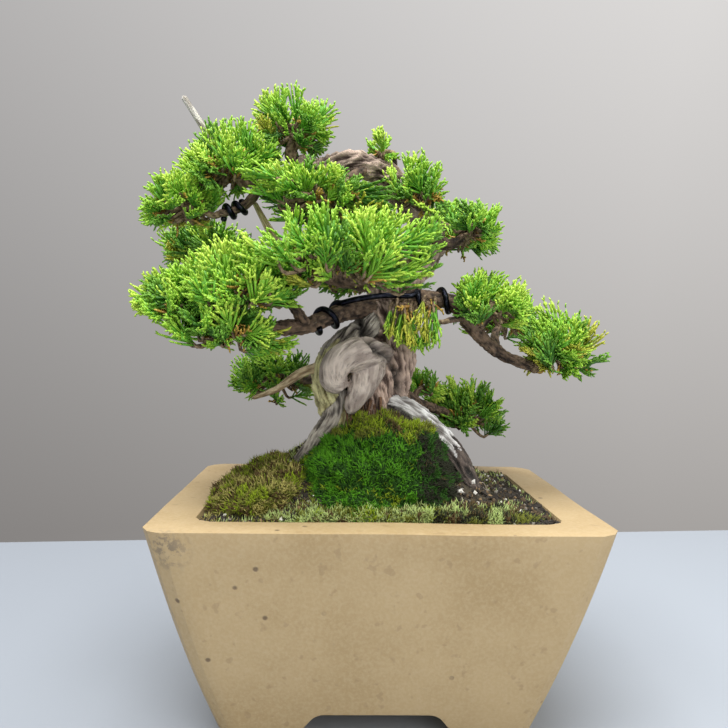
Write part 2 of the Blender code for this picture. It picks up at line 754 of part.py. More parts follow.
def main():
    for found in list(bpy.data.objects):
        bpy.data.objects.remove(found)
    make_pot()
    add_object("soil", soil_shape(), "soil")
    trunk_grown = make_trunk("trunk_grown", GAP)
    shape_with(make_trunk("trunk"), "DIFFERENCE", soil_shape(SOIL_CLEARANCE))
    make_moss(trunk_grown)
    for name, details in BOUGHS.items():
        make_bough(name, *details, "bark", trunk_grown)
    for name, details in JINS.items():
        make_bough(name, *details, "deadwood", trunk_grown)
    bpy.data.objects.remove(trunk_grown)
    for name, path in wire_paths().items():
        add_object(name, limb(path, (WIRE_RADIUS, WIRE_RADIUS), 0), "wire")
    limbs = limb_table()
    for name in MASSES:
        grow_mass(name, limbs)
    stand_in_the_middle()


main()
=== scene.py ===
import math
import random
from itertools import islice

import bpy
import numpy as np
from mathutils import Euler, Matrix, Vector, noise


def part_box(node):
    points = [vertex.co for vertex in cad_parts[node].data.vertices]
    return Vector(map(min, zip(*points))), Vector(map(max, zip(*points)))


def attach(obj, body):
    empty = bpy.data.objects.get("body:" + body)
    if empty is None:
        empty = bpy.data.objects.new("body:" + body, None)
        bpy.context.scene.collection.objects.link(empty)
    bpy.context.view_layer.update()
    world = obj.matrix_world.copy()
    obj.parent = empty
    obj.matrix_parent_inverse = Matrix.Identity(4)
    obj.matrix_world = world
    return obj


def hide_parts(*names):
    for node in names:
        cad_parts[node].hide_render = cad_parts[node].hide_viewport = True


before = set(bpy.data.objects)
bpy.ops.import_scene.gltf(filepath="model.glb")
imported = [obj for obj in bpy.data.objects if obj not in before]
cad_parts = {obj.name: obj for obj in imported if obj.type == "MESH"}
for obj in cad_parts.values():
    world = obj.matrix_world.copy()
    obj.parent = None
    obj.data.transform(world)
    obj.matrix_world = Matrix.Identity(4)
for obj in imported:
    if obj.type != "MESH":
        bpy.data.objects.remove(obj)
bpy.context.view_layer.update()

# Shimpaku juniper bonsai in its clay pot. Sizes and places are millimetres from the middle of the
# pot's foot, +Z up and the viewer on the -Y side. They become metres where a mesh is made.
mm = 0.001
potLow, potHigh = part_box("pot")
potMiddle = Vector(((potLow.x + potHigh.x) / 2, (potLow.y + potHigh.y) / 2, 0))
# Without a seed the vector noise differs from run to run.
noise.seed_set(5)


def clamped(value):
    return min(1, max(0, value))


# Shader maths


class Signal:
    # A socket's value. Sums on it add Math nodes.
    def __init__(self, look, socket):
        self.look = look
        self.socket = socket

    def maths(self, operation, *values):
        feeds = dict(enumerate(values))
        return self.look.node("ShaderNodeMath", {"operation": operation}, feeds)

    def __add__(self, other):
        return self.maths("ADD", self, other)

    def __sub__(self, other):
        return self.maths("SUBTRACT", self, other)

    def __rsub__(self, other):
        return self.maths("SUBTRACT", other, self)

    def __mul__(self, other):
        return self.maths("MULTIPLY", self, other)

    def above(self, low, high, step="SMOOTHSTEP"):
        # 0 under low, 1 over high and a smooth step between them.
        feeds = {"Value": self, "From Min": low, "From Max": high}
        return self.look.node("ShaderNodeMapRange", {"interpolation_type": step}, feeds)


class Nodes:
    # A node tree and what is added to it.
    def __init__(self, tree):
        self.tree = tree

    def node(self, kind, settings=None, feeds=None, out=0):
        made = self.tree.nodes.new(kind)
        for name, value in (settings or {}).items():
            setattr(made, name, value)
        for name, value in (feeds or {}).items():
            if isinstance(value, Signal):
                self.tree.links.new(value.socket, made.inputs[name])
            else:
                made.inputs[name].default_value = value
        return Signal(self, made.outputs[out])

    def place(self, kind="Object"):
        return self.node("ShaderNodeTexCoord", out=kind)

    def part(self, where, axis):
        return self.node("ShaderNodeSeparateXYZ", {}, {"Vector": where}, axis)

    def attribute(self, name, out):
        return self.node("ShaderNodeAttribute", {"attribute_name": name}, out=out)

    def noise(self, where, scale, detail=4.0, rough=0.55):
        feeds = {"Vector": where, "Scale": scale, "Detail": detail, "Roughness": rough}
        return self.node("ShaderNodeTexNoise", {}, feeds)

    def cells(self, where, scale):
        # How far each place is from the middle of its cell.
        return self.node("ShaderNodeTexVoronoi", {}, {"Vector": where, "Scale": scale}, "Distance")

    def blend(self, share, low, high, way="MIX"):
        # Colours: low where share is 0 and high where it is 1.
        feeds = {0: share}
        for socket, colour in ((6, low), (7, high)):
            feeds[socket] = colour if isinstance(colour, Signal) else (*colour, 1)
        return self.node("ShaderNodeMix", {"data_type": "RGBA", "blend_type": way}, feeds, 2)


class Look(Nodes):
    # A material whose shader is a Principled BSDF.
    def __init__(self, name, roughness=0.8, **fixed):
        self.material = bpy.data.materials.new(name)
        self.material.use_nodes = True
        super().__init__(self.material.node_tree)
        self.shader = self.tree.nodes["Principled BSDF"]
        self.shader.inputs["Roughness"].default_value = roughness
        for socket, value in fixed.items():
            self.shader.inputs[socket.replace("_", " ")].default_value = value

    def wear(self, colour=None, roughness=None, height=None, depth=0.0005, strength=1.0):
        # Links what varies over the surface, and gives back the material.
        if isinstance(colour, Signal):
            self.tree.links.new(colour.socket, self.shader.inputs["Base Color"])
        elif colour:
            self.shader.inputs["Base Color"].default_value = (*colour, 1)
        if roughness:
            self.tree.links.new(roughness.socket, self.shader.inputs["Roughness"])
        if height:
            feeds = {"Height": height, "Distance": depth, "Strength": strength}
            bump = self.node("ShaderNodeBump", {}, feeds)
            self.tree.links.new(bump.socket, self.shader.inputs["Normal"])
        return self.material


# Meshes from arrays, and what every piece gets


def toMetres(points):
    return np.asarray(points, float) * mm + np.array(potMiddle)


def meshPiece(name, points, triangles, look):
    # Points are millimetres in the pot's frame.
    mesh = bpy.data.meshes.new(name)
    points = toMetres(points)
    triangles = np.asarray(triangles)
    mesh.vertices.add(len(points))
    mesh.vertices.foreach_set("co", points.ravel())
    mesh.loops.add(triangles.size)
    mesh.loops.foreach_set("vertex_index", triangles.ravel())
    mesh.polygons.add(len(triangles))
    mesh.polygons.foreach_set("loop_start", np.arange(0, triangles.size, 3))
    mesh.update(calc_edges=True)
    mesh.shade_smooth()
    mesh.materials.append(look)
    piece = bpy.data.objects.new(name, mesh)
    bpy.context.scene.collection.objects.link(piece)
    return piece


def keep(piece, slot, *nodes):
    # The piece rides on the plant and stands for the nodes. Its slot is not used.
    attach(piece, "root")
    if nodes:
        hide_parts(*nodes)
    faces = sum(len(face.vertices) - 2 for face in piece.data.polygons)
    print(f"{piece.name}: {faces} triangles")
    return piece


def onlySelect(piece):
    bpy.ops.object.select_all(action="DESELECT")
    piece.select_set(True)
    bpy.context.view_layer.objects.active = piece


def settle(piece):
    # Puts the object's place into its mesh.
    onlySelect(piece)
    bpy.ops.object.transform_apply(location=True, rotation=True, scale=True)


# Paths and tubes


def smoothPath(points, steps):
    # A curve through the points, with this many steps between each two.
    knots = [Vector(p) for p in points]
    ends = [knots[0] * 2 - knots[1], *knots, knots[-1] * 2 - knots[-2]]
    path = []
    for a, b, c, d in zip(ends, ends[1:], ends[2:], ends[3:]):
        for step in range(steps):
            t = step / steps
            bend = (2 * a - 5 * b + 4 * c - d) * t**2 + (3 * b - a - 3 * c + d) * t**3
            path.append((2 * b + (c - a) * t + bend) / 2)
    path.append(knots[-1])
    return path


def spread(values, count):
    # The value at each of count points, evenly between the given ones.
    return np.interp(np.linspace(0, len(values) - 1, count), range(len(values)), values)


class Limb:
    # A tapering limb: its line in even steps, its radii, and at each step a side and an up across it.
    def __init__(self, points, radii, every=0.7, wood="bark"):
        rough = np.array(smoothPath(points, 12))
        widths = spread(radii, len(rough))
        gone = np.concatenate([[0], np.cumsum(np.linalg.norm(np.diff(rough, axis=0), axis=1))])
        self.along = np.linspace(0, gone[-1], max(4, int(gone[-1] / every) + 1))
        self.line = np.stack([np.interp(self.along, gone, rough[:, k]) for k in range(3)], axis=1)
        self.radii = np.interp(self.along, gone, widths)
        self.wood = wood
        self.seed = 7.3 * len(self.along) + points[0][0]
        ahead = np.gradient(self.line, axis=0)
        self.ahead = ahead / np.linalg.norm(ahead, axis=1)[:, None]
        side = np.cross(self.ahead[0], (0, 1, 0.1))
        sides = []
        for direction in self.ahead:
            side = side - direction * side.dot(direction)
            side = side / np.linalg.norm(side)
            sides.append(side)
        self.side = np.array(sides)
        self.up = np.cross(self.ahead, self.side)


def tubeArrays(limb, sides, relief=None, tipLength=1.2):
    # A closed tube round a limb, with a rounded tip. Relief adds to the radius at (step, angle).
    steps = len(limb.line)
    angles = np.arange(sides) * math.tau / sides
    left = np.clip((limb.along[-1] - limb.along) / tipLength, 0, 1)
    shrink = np.sqrt(1 - (1 - left) ** 2 * 0.96)
    radius = limb.radii[:, None] + np.zeros((steps, sides))
    if relief is not None:
        radius = radius + relief
    radius = radius * shrink[:, None]
    out = limb.side[:, None] * np.cos(angles)[None, :, None]
    out = out + limb.up[:, None] * np.sin(angles)[None, :, None]
    points = (limb.line[:, None] + out * radius[:, :, None]).reshape(-1, 3)
    ends = np.array([limb.line[0], limb.line[-1]])
    triangles = []
    for a in range(steps - 1):
        for i in range(sides):
            j = (i + 1) % sides
            low, high = a * sides, (a + 1) * sides
            triangles.append((low + i, low + j, high + j))
            triangles.append((low + i, high + j, high + i))
    first, last = len(points), len(points) + 1
    top = (steps - 1) * sides
    for i in range(sides):
        j = (i + 1) % sides
        triangles.append((first, j, i))
        triangles.append((last, top + i, top + j))
    return np.concatenate([points, ends]), np.array(triangles)


def rods(starts, aheads, bends, lengths, widths, shares):
    # Three-sided rods that bend: a ring at each share of the length, and a point where the width is 0.
    count = len(starts)
    helper = np.where(np.abs(aheads[:, 2:3]) > 0.9, [[1.0, 0, 0]], [[0, 0, 1.0]])
    side = np.cross(aheads, helper)
    side /= np.linalg.norm(side, axis=1)[:, None]
    up = np.cross(aheads, side)
    levels = []
    for share, width in zip(shares, widths):
        middle = starts + aheads * (lengths * share)[:, None] + bends * share**2
        if np.isscalar(width) and width == 0:
            levels.append(middle[:, None])
            continue
        ring = []
        for turn in range(3):
            angle = math.tau * turn / 3
            out = side * math.cos(angle) + up * math.sin(angle)
            ring.append(middle + out * np.reshape(width, (-1, 1)))
        levels.append(np.stack(ring, axis=1))
    points = np.concatenate(levels, axis=1)
    each = points.shape[1]
    pattern = [(0, 2, 1)]
    at = 0
    for low, high in zip(levels, levels[1:]):
        for i in range(3):
            j = (i + 1) % 3
            if high.shape[1] == 1:
                pattern.append((at + i, at + j, at + 3))
            else:
                pattern.append((at + i, at + j, at + 3 + j))
                pattern.append((at + i, at + 3 + j, at + 3 + i))
        at += 3
    if levels[-1].shape[1] == 3:
        pattern.append((at, at + 1, at + 2))
    triangles = np.arange(count)[:, None, None] * each + np.array(pattern)[None]
    return points.reshape(-1, 3), triangles.reshape(-1, 3)


def joined(parts):
    # Several (points, triangles) as one.
    points, triangles, before = [], [], 0
    for some, faces in parts:
        points.append(some)
        triangles.append(faces + before)
        before += len(some)
    return np.concatenate(points), np.concatenate(triangles)


# Pot: a slab-built rectangle with cut corners, whose walls lean in towards four feet

pot = {
    "width": 150, "depth": 120, "height": 76, "corner": 7, "rim": 14, "rimEdge": 1.3,
    "lean": 0.22, "bulge": 0.0009, "innerLeanShare": 0.9, "floorTop": 18,
    "footWall": 11, "footHeight": 10, "frontArch": (20.5, 28), "sideArch": (11, 17), "archEase": 3,
    "drainRadius": 6, "drainSpacing": 44, "warp": 0.35, "warpScale": 26, "warpFrom": 15,
    "wallRings": 14, "innerRings": 6, "edgeCuts": 23, "longEdge": 50, "cutterReach": 400,
    "drainReach": 60, "stain": (-67, -61, 70),
}


def wallInset(height):
    down = pot["height"] - height
    return pot["lean"] * down + pot["bulge"] * down**2


def innerInset(height):
    return pot["rim"] + pot["innerLeanShare"] * wallInset(height)


def clayLook():
    look = Look("buff clay", roughness=0.62)
    where = look.place()
    cloud = look.noise(where, 28, 5, 0.6)
    grain = look.noise(where, 900, 3, 0.6)
    speck = look.noise(where, 260, 2, 0.5)
    colour = look.blend(cloud.above(0.3, 0.7), (0.42, 0.295, 0.14), (0.5, 0.365, 0.19))
    colour = look.blend(grain.above(0.35, 0.75) * 0.35, colour, (0.58, 0.46, 0.28))
    colour = look.blend(speck.above(0.63, 0.72) * 0.35, colour, (0.3, 0.2, 0.1))
    holes = look.cells(where, 95)
    few = look.noise(where, 33, 1, 0.5)
    pit = (1 - holes.above(0.05, 0.11)) * few.above(0.5, 0.58)
    colour = look.blend(pit * 0.75, colour, (0.1, 0.065, 0.04))
    stain = Vector(pot["stain"]) * mm + potMiddle
    near = look.node("ShaderNodeVectorMath", {"operation": "DISTANCE"}, {0: where, 1: stain}, 1)
    scrape = (1 - near.above(0.002, 0.011)) * look.noise(where, 420, 3, 0.7).above(0.45, 0.6)
    colour = look.blend(scrape * 0.7, colour, (0.16, 0.13, 0.1))
    height = grain * 0.25 + cloud * 0.4 - pit * 0.9
    return look.wear(colour, look.noise(where, 60) * 0.2 + 0.52, height, 0.0006, 0.5)


def archCutter(halfWidths, alongX):
    # A block as wide as the opening between two feet, narrower at its top, with eased edges.
    top, bottom = halfWidths
    reach = pot["cutterReach"]
    bpy.ops.mesh.primitive_cube_add(size=1, location=potMiddle)
    cutter = bpy.context.object
    # Its top stays just under the pocket's, as cuts with a shared plane fail.
    high = 2 * pot["footHeight"] - (0.3 if alongX else 0.2)
    size = (reach, 2 * top, high) if alongX else (2 * top, reach, high)
    cutter.scale = Vector(size) * mm
    settle(cutter)
    across = 1 if alongX else 0
    for corner in cutter.data.vertices:
        if corner.co.z < 0:
            side = corner.co[across] - potMiddle[across]
            corner.co[across] = potMiddle[across] + math.copysign(2 * bottom - top, side) * mm
    ease = cutter.modifiers.new("ease", "BEVEL")
    ease.width = pot["archEase"] * mm
    ease.segments = 4
    return cutter


def drawIn(rise, before, after):
    # Extrudes the selected faces by rise, and takes their inset from the pot's outline from
    # before to after.
    shrink = [(full / 2 - after) / (full / 2 - before) for full in (pot["width"], pot["depth"])]
    bpy.ops.mesh.extrude_region_move(TRANSFORM_OT_translate={"value": (0, 0, rise * mm)})
    bpy.ops.transform.resize(value=(*shrink, 1), center_override=potMiddle)


def drawRings(bottom, count, inset):
    # Rings of wall from the rim down to the bottom, each at the inset of its height.
    top = pot["height"]
    heights = [top - step * (top - bottom) / count for step in range(count + 1)]
    for above, below in zip(heights, heights[1:]):
        drawIn(below - above, inset(above), inset(below))


def makePot():
    high = pot["height"]
    bpy.ops.object.select_all(action="DESELECT")
    bpy.ops.mesh.primitive_plane_add(size=1, location=potMiddle + Vector((0, 0, high * mm)))
    piece = bpy.context.object
    piece.name = "potBody"
    piece.scale = (pot["width"] * mm, pot["depth"] * mm, 1)
    settle(piece)
    bpy.ops.object.mode_set(mode="EDIT")
    bpy.ops.mesh.select_all(action="SELECT")
    bpy.ops.mesh.bevel(offset=pot["corner"] * mm, segments=2, profile=0.4, affect="VERTICES")
    # The long edges are cut up, so that the walls can bow and warp a little.
    bpy.ops.object.mode_set(mode="OBJECT")
    for edge in piece.data.edges:
        a, b = (piece.data.vertices[k].co for k in edge.vertices)
        edge.select = (a - b).length > pot["longEdge"] * mm
    for face in piece.data.polygons:
        face.select = False
    bpy.ops.object.mode_set(mode="EDIT")
    bpy.ops.mesh.select_mode(type="EDGE")
    bpy.ops.mesh.subdivide(number_cuts=pot["edgeCuts"])
    bpy.ops.mesh.select_all(action="SELECT")
    bpy.ops.mesh.select_mode(type="FACE")
    # Outer walls, ring by ring down to the feet.
    drawRings(0, pot["wallRings"], wallInset)
    drawIn(0, wallInset(0), wallInset(0) + pot["footWall"])
    drawIn(pot["footHeight"], 0, 0)
    bpy.ops.mesh.select_all(action="DESELECT")
    # The top ring is open now: its border gets the rim and the walls inside.
    bpy.ops.object.mode_set(mode="OBJECT")
    for edge in piece.data.edges:
        edge.select = all(piece.data.vertices[k].co.z > (high - 0.1) * mm for k in edge.vertices)
    bpy.ops.object.mode_set(mode="EDIT")
    bpy.ops.mesh.select_mode(type="EDGE")
    bpy.ops.mesh.edge_face_add()
    bpy.ops.mesh.select_mode(type="FACE")
    drawIn(0, 0, pot["rim"])
    drawRings(pot["floorTop"], pot["innerRings"], innerInset)
    bpy.ops.mesh.select_all(action="SELECT")
    bpy.ops.mesh.normals_make_consistent(inside=False)
    bpy.ops.object.mode_set(mode="OBJECT")
    cutters = [archCutter(pot["frontArch"], False), archCutter(pot["sideArch"], True)]
    for x in (-pot["drainSpacing"] / 2, pot["drainSpacing"] / 2):
        bpy.ops.mesh.primitive_cylinder_add(
            vertices=28, radius=pot["drainRadius"] * mm, depth=pot["drainReach"] * mm,
            location=potMiddle + Vector((x * mm, 0, 0)),
        )
        cutters.append(bpy.context.object)
        settle(cutters[-1])
    for cutter in cutters:
        cut = piece.modifiers.new("cut", "BOOLEAN")
        cut.object = cutter
        onlySelect(piece)
        bpy.ops.object.modifier_apply(modifier="cut")
        bpy.data.objects.remove(cutter)
    soften = piece.modifiers.new("soften", "BEVEL")
    soften.width = pot["rimEdge"] * mm
    soften.segments = 4
    soften.limit_method = "ANGLE"
    soften.angle_limit = math.radians(38)
    bpy.ops.object.modifier_apply(modifier="soften")
    # Hand-made clay: every wall waves a little.
    for corner in piece.data.vertices:
        wave = noise.noise_vector(corner.co * pot["warpScale"])
        corner.co += wave * pot["warp"] * mm * min(1, corner.co.z / (pot["warpFrom"] * mm))
    piece.data.materials.clear()
    piece.data.materials.append(clayLook())
    bpy.ops.object.shade_smooth_by_angle(angle=math.radians(40))
    return keep(piece, "clay", "pot")


makePot()
print("pot done")


# Soil mound

soil = {
    "edge": 74.2, "rise": 33, "top": 101, "left": 28, "right": 25, "depth": 21, "cells": (120, 96),
    "corner": 5, "lumps": 1.1, "crumbs": 0.5, "heaped": 0.9, "heapedFrom": 22,
    "skirt": 50, "skirtShare": (0.88, 0.86), "skirtFoot": 19, "clearance": 0.3,
}


def insideWidth(height):
    # Half sizes of the soil where it meets the pot's wall.
    inset = innerInset(height) + soil["clearance"]
    return pot["width"] / 2 - inset, pot["depth"] / 2 - inset


def groundHeight(x, y):
    wide, deep = insideWidth(soil["edge"])
    out = min(1, max(abs(x) / wide, abs(y) / deep))
    across = soil["left"] if x < 0 else soil["right"]
    rise = soil["rise"] * math.exp(-((x / across) ** 2 + (y / soil["depth"]) ** 2) / 2)
    return soil["edge"] + min(rise, soil["top"] - soil["edge"]) * (1 - out**8)


def roughGround(x, y):
    # On the right the soil is heaped up to the rim.
    heaped = soil["heaped"] * clamped((x - soil["heapedFrom"]) / 18)
    lump = noise.noise(Vector((x, y, 3)) * 0.16) * soil["lumps"]
    crumb = noise.noise(Vector((x, y, 9)) * 0.7) * soil["crumbs"]
    return groundHeight(x, y) + heaped + lump + crumb


def soilLook():
    look = Look("dark grit soil", roughness=0.95)
    where = look.place()
    patch = look.noise(where, 150, 4)
    grain = look.noise(where, 1200, 3, 0.7)
    colour = look.blend(patch.above(0.35, 0.65), (0.018, 0.014, 0.009), (0.075, 0.06, 0.038))
    colour = look.blend(grain.above(0.5, 0.75) * 0.7, colour, (0.16, 0.14, 0.09))
    return look.wear(colour, None, grain + patch, 0.0012, 0.8)


def makeSoil():
    wide, deep = insideWidth(soil["edge"])
    bpy.ops.object.select_all(action="DESELECT")
    columns, rows = soil["cells"]
    bpy.ops.mesh.primitive_grid_add(
        x_subdivisions=columns, y_subdivisions=rows, size=1, location=potMiddle,
    )
    piece = bpy.context.object
    piece.name = "soilMound"
    piece.scale = (2 * wide * mm, 2 * deep * mm, 1)
    settle(piece)
    for corner in piece.data.vertices:
        x, y = ((corner.co - potMiddle) / mm).xy
        # The corners are drawn in, as the pot's inner corners are cut off.
        over = abs(x) + abs(y) - (wide + deep - soil["corner"])
        if over > 0:
            x -= math.copysign(over / 2, x)
            y -= math.copysign(over / 2, y)
        corner.co = potMiddle + Vector((x, y, roughGround(x, y))) * mm
    bpy.ops.object.mode_set(mode="EDIT")
    bpy.ops.mesh.select_all(action="SELECT")
    bpy.ops.mesh.region_to_loop()
    bpy.ops.mesh.extrude_edges_move(TRANSFORM_OT_translate={"value": (0, 0, -soil["skirt"] * mm)})
    foot = potMiddle + Vector((0, 0, soil["skirtFoot"] * mm))
    bpy.ops.transform.resize(value=(*soil["skirtShare"], 0), center_override=foot)
    bpy.ops.mesh.edge_face_add()
    bpy.ops.mesh.select_all(action="SELECT")
    bpy.ops.mesh.normals_make_consistent(inside=False)
    bpy.ops.object.mode_set(mode="OBJECT")
    piece.data.materials.append(soilLook())
    bpy.ops.object.shade_smooth_by_angle(angle=math.radians(60))
    return keep(piece, "soil", "soil")


makeSoil()
print("soil done")


# Wood: where each limb runs, its radii, and what its surface is

trunk = {
    "points": (
        (-4, 2, 92), (-3, 2, 106), (3, 4, 124), (5, 6, 143), (6, 8, 154), (11, 8, 162),
        (18, 8, 170), (19, 6, 180),
        (11, 2, 190), (0, 0, 200), (-13, -2, 203), (-25, -2, 200), (-33, -3, 204),
    ),
    "radii": (14, 13, 11.5, 11, 9, 7.6, 7, 6.4, 5.6, 5, 4.4, 3.8, 2.6),
    "voxel": 0.48,
    # A deep cleft down the front, as (x, z), between the living bark and the dead flank.
    "cleft": ((-8, 143), (-4, 136), (3, 130), (8, 123), (10, 116)), "cleftWidth": 1.9, "cleftDepth": 3.4,
    "cleftHeights": (112, 146),
    # The heights above which painted shade of the crown darkens the bark and dead wood turns grey, below
    # which painted shade darkens the foot, and how far right the root is darker.
    "crownShadeAbove": 150, "greyAbove": 133, "footShadeBelow": 88, "darkRootRight": 27,
}

# Fused to the trunk: its dead flank, the old root that curls over its foot, and the spreading roots.
swellings = {
    "flank": (
        ((-12, -2, 98), (-18, -5, 114), (-17, -5, 126), (-8, -2, 136), (2, 3, 143)),
        (5, 6, 7, 6.5, 6), "dead",
    ),
    "curl": (
        ((5, 1, 128), (-4, -12, 131), (-14, -14, 128), (-17, -14, 121), (-12, -13, 118)),
        (4.5, 6.3, 5.3, 3.6), "knob",
    ),
    "frontLeg": (((-3, -8.5, 126), (-7, -12.5, 116), (-11, -13.5, 108)), (6.3, 4.8, 2), "knob"),
    "leftLeg": (
        ((-14, -5, 116), (-17, -8, 106), (-22, -9, 99), (-33, -13, 84)), (4.6, 3.8, 3.3, 2.2), "grey",
    ),
    "paleLeg": (((-11, -7, 112), (-12, -10, 104), (-16, -12, 96)), (2.8, 2.5, 2.2), "dead"),
    "rightRoot": (
        ((0, -1, 112), (10, -6, 109), (20, -10, 102), (29, -14, 93), (36, -20, 80)),
        (6, 5.2, 5.3, 4.2, 2.8), "root",
    ),
    "backRoot": (((0, 6, 108), (7, 20, 98), (12, 34, 77)), (6, 4.8, 2.6), "bark"),
    "backLeftRoot": (((-8, 6, 106), (-20, 17, 97), (-30, 27, 78)), (5.5, 4.2, 2.4), "bark"),
}

# Each bough: the points it passes through, from its parent's middle, and its radii.
boughs = {
    "bough_left": (
        ((2, 4, 149), (-13, -4, 146), (-28, -14, 140), (-42, -20, 140), (-58, -22, 145)), (4, 2),
    ),
    "bough_left_side": (((-27, -13.5, 140), (-30, -19, 145), (-34, -24, 150)), (2.2, 1.7)),
    "bough_left_low": (((-42, -20, 140), (-45, -25, 137), (-48, -27, 135.5)), (1.8, 1.4)),
    "bough_front": (((10, 7, 161), (2, -8, 163), (-5, -19, 163)), (3.6, 2.2)),
    "bough_back_left": (((9, 8, 156), (-14, 18, 160), (-34, 23, 164), (-50, 23, 167)), (3.6, 1.8)),
    "bough_low_left": (((-4, 4, 121), (-17, 21, 120), (-30, 38, 117)), (3, 1.7)),
    "bough_low_right": (((5, 6, 119), (17, 20, 110), (33, 37, 104)), (3, 1.7)),
    "bough_low_right_side": (((16, 19, 110.6), (18, 24, 113.5), (20, 27, 115)), (1.5, 1.2)),
    "bough_right": (
        ((8, 8, 155), (16, -1, 152), (29, -4, 150), (36, -4, 141), (48, -1, 131), (61, 0, 126)),
        (3.8, 2),
    ),
    "bough_right_side": (((37, -4, 140), (41, -6, 144), (43.5, -7, 147)), (1.9, 1.5)),
    "bough_hanging": (((33, -4, 145), (29, -9, 144), (25, -12, 143)), (1.4, 1.1)),
    "bough_back_right_low": (((46, -1.5, 132.5), (48, 10, 138), (52, 20, 143)), (1.9, 1.4)),
    "bough_upper_right": (((19, 6, 179), (26, 0, 173), (33, -1, 176)), (3, 1.8)),
    "bough_back_right": (((18, 5, 181), (24, 13, 182), (30, 21, 183)), (2.6, 1.7)),
    "bough_right_top": (((12, 2, 188), (17, -3, 188.5), (18, -5, 191)), (2.6, 1.7)),
    "bough_top_right": (((3, 0, 198), (5, 0, 203), (5, 0, 205.5)), (1.7, 1.2)),
    "bough_upper_front": (((-4, -1, 202), (-10, -7, 197.5), (-13, -9, 195)), (2, 1.4)),
    "bough_back_upper": (((-8, -1, 203), (-13, 9, 199), (-17, 17, 195)), (2.6, 1.7)),
    "bough_back": (((13, 8, 161), (7, 20, 162), (0, 31, 163)), (3, 1.9)),
    "bough_upper_left": (((-24, -2, 201), (-38, -6, 195), (-50, -8, 193)), (2.8, 1.8)),
    "bough_left_tip": (((-43, -6.8, 194), (-51, -10, 184), (-60, -12, 180.5)), (1.8, 1.4)),
}

# Dead stubs, bleached and bare.
jins = {
    "jin_top_left": (
        ((-47, -7.6, 193.5), (-57, -4, 200), (-66, -5, 212.5), (-74.5, -6, 225)), (1.8, 1.1), "white",
    ),
    # The left stub's pale tone is painted light.
    "jin_left": (((-24, 21, 162), (-33, 9, 166), (-41, 0, 175), (-48, -3, 187)), (2.9, 1), "pale"),
    "jin_low_left": (
        ((-16, -5, 126), (-28, -7, 123), (-38, -9, 116.5), (-47, -10, 113)), (2.4, 0.8), "tan",
    ),
    "jin_top_right": (((6, 0, 193), (8.5, -4, 195.5), (10.5, -5, 200)), (2.4, 1), "white"),
}

# Dark and light tone of each kind of wood.
woodTones = {
    "bark": ((0.08, 0.045, 0.033), (0.86, 0.65, 0.52)),
    "dead": ((0.24, 0.2, 0.08), (0.92, 0.88, 0.46)),
    "knob": ((0.4, 0.33, 0.285), (0.68, 0.585, 0.5)),
    "grey": ((0.09, 0.075, 0.065), (0.62, 0.57, 0.48)),
    "root": ((0.2, 0.185, 0.17), (0.95, 0.95, 0.93)),
    # The root's dark tone: painted shade on its underside, and its own darker colour towards its right
    # end.
    "charred": ((0.012, 0.01, 0.008), (0.15, 0.115, 0.095)),
    "white": ((0.35, 0.31, 0.25), (0.85, 0.82, 0.74)),
    "tan": ((0.26, 0.18, 0.09), (0.66, 0.54, 0.33)),
    # pale is the tan tone made lighter: painted light on the left stub, which lies in shade.
    "pale": ((0.5, 0.36, 0.15), (0.95, 0.82, 0.5)),
    "fibre": ((0.06, 0.03, 0.015), (0.38, 0.2, 0.1)),
    "oldBark": ((0.03, 0.018, 0.012), (0.27, 0.18, 0.115)),
}

# Relief of each kind: depth of its furrows, their width, their length along the grain, and its twist.
woodGrain = {
    "bark": (2.1, 2.6, 9, 0.05),
    "dead": (1.8, 1.7, 13, 0.05),
    "knob": (0.6, 3.4, 12, 0.06),
    "grey": (0.9, 1.7, 12, 0.03),
    "root": (1.0, 1.9, 11, 0.02),
    "white": (0.22, 1.2, 12, 0.02),
    "tan": (0.28, 1.3, 12, 0.02),
    "pale": (0.28, 1.3, 12, 0.02),
    "fibre": (0.3, 0.8, 8, 0.05),
    "oldBark": (1.6, 1.7, 7, 0.04),
}


def grainPoint(across, up, along, wood, seed):
    # A place on a limb as the grain sees it: short across the limb and long along it.
    _, width, length, twist = woodGrain[wood]
    turn = twist * along
    a = across * math.cos(turn) - up * math.sin(turn)
    b = across * math.sin(turn) + up * math.cos(turn)
    return Vector((a / width, b / width, along / length + seed))


def furrow(point):
    # 1 on a ridge and towards 0 in a furrow, at two sizes.
    bent = point + noise.noise_vector(point * 0.7) * 0.5
    large = 1 - abs(noise.noise(bent)) * 2.6
    small = 1 - abs(noise.noise(bent * 2.3 + Vector((5, 5, 5)))) * 2.4
    flake = noise.noise(Vector((point.x * 0.8, point.y * 0.8, point.z * 4.1)))
    return 0.5 * large + 0.32 * small + 0.42 * flake


def woodLook():
    look = Look("weathered wood", roughness=0.85)
    grain = look.attribute("grain", "Vector")
    tone = look.attribute("tone", "Color")
    streak = look.noise(grain, 3.2, 5, 0.65)
    fleck = look.noise(look.place(), 1500, 3, 0.6)
    patch = look.noise(look.place(), 75, 3, 0.6)
    colour = look.blend(streak.above(0.52, 0.3) * 0.5, tone, (0.03, 0.02, 0.014))
    colour = look.blend(streak.above(0.58, 0.8) * 0.4, colour, (0.66, 0.58, 0.47))
    colour = look.blend(fleck.above(0.55, 0.75) * 0.25, colour, (0.5, 0.42, 0.33))
    colour = look.blend(patch.above(0.6, 0.4) * 0.35, colour, (0.42, 0.36, 0.33), "MULTIPLY")
    return look.wear(colour, look.noise(grain, 6) * 0.25 + 0.68, streak * 0.8 + fleck * 0.3, 0.0008, 1.0)


def paintWood(piece, tones, grains):
    # Keeps a tone and a grain place on every point, for the material to read.
    mesh = piece.data
    tone = mesh.attributes.new("tone", "FLOAT_COLOR", "POINT")
    tone.data.foreach_set("color", np.asarray(tones, np.float32).ravel())
    grain = mesh.attributes.new("grain", "FLOAT_VECTOR", "POINT")
    grain.data.foreach_set("vector", np.asarray(grains, np.float32).ravel())


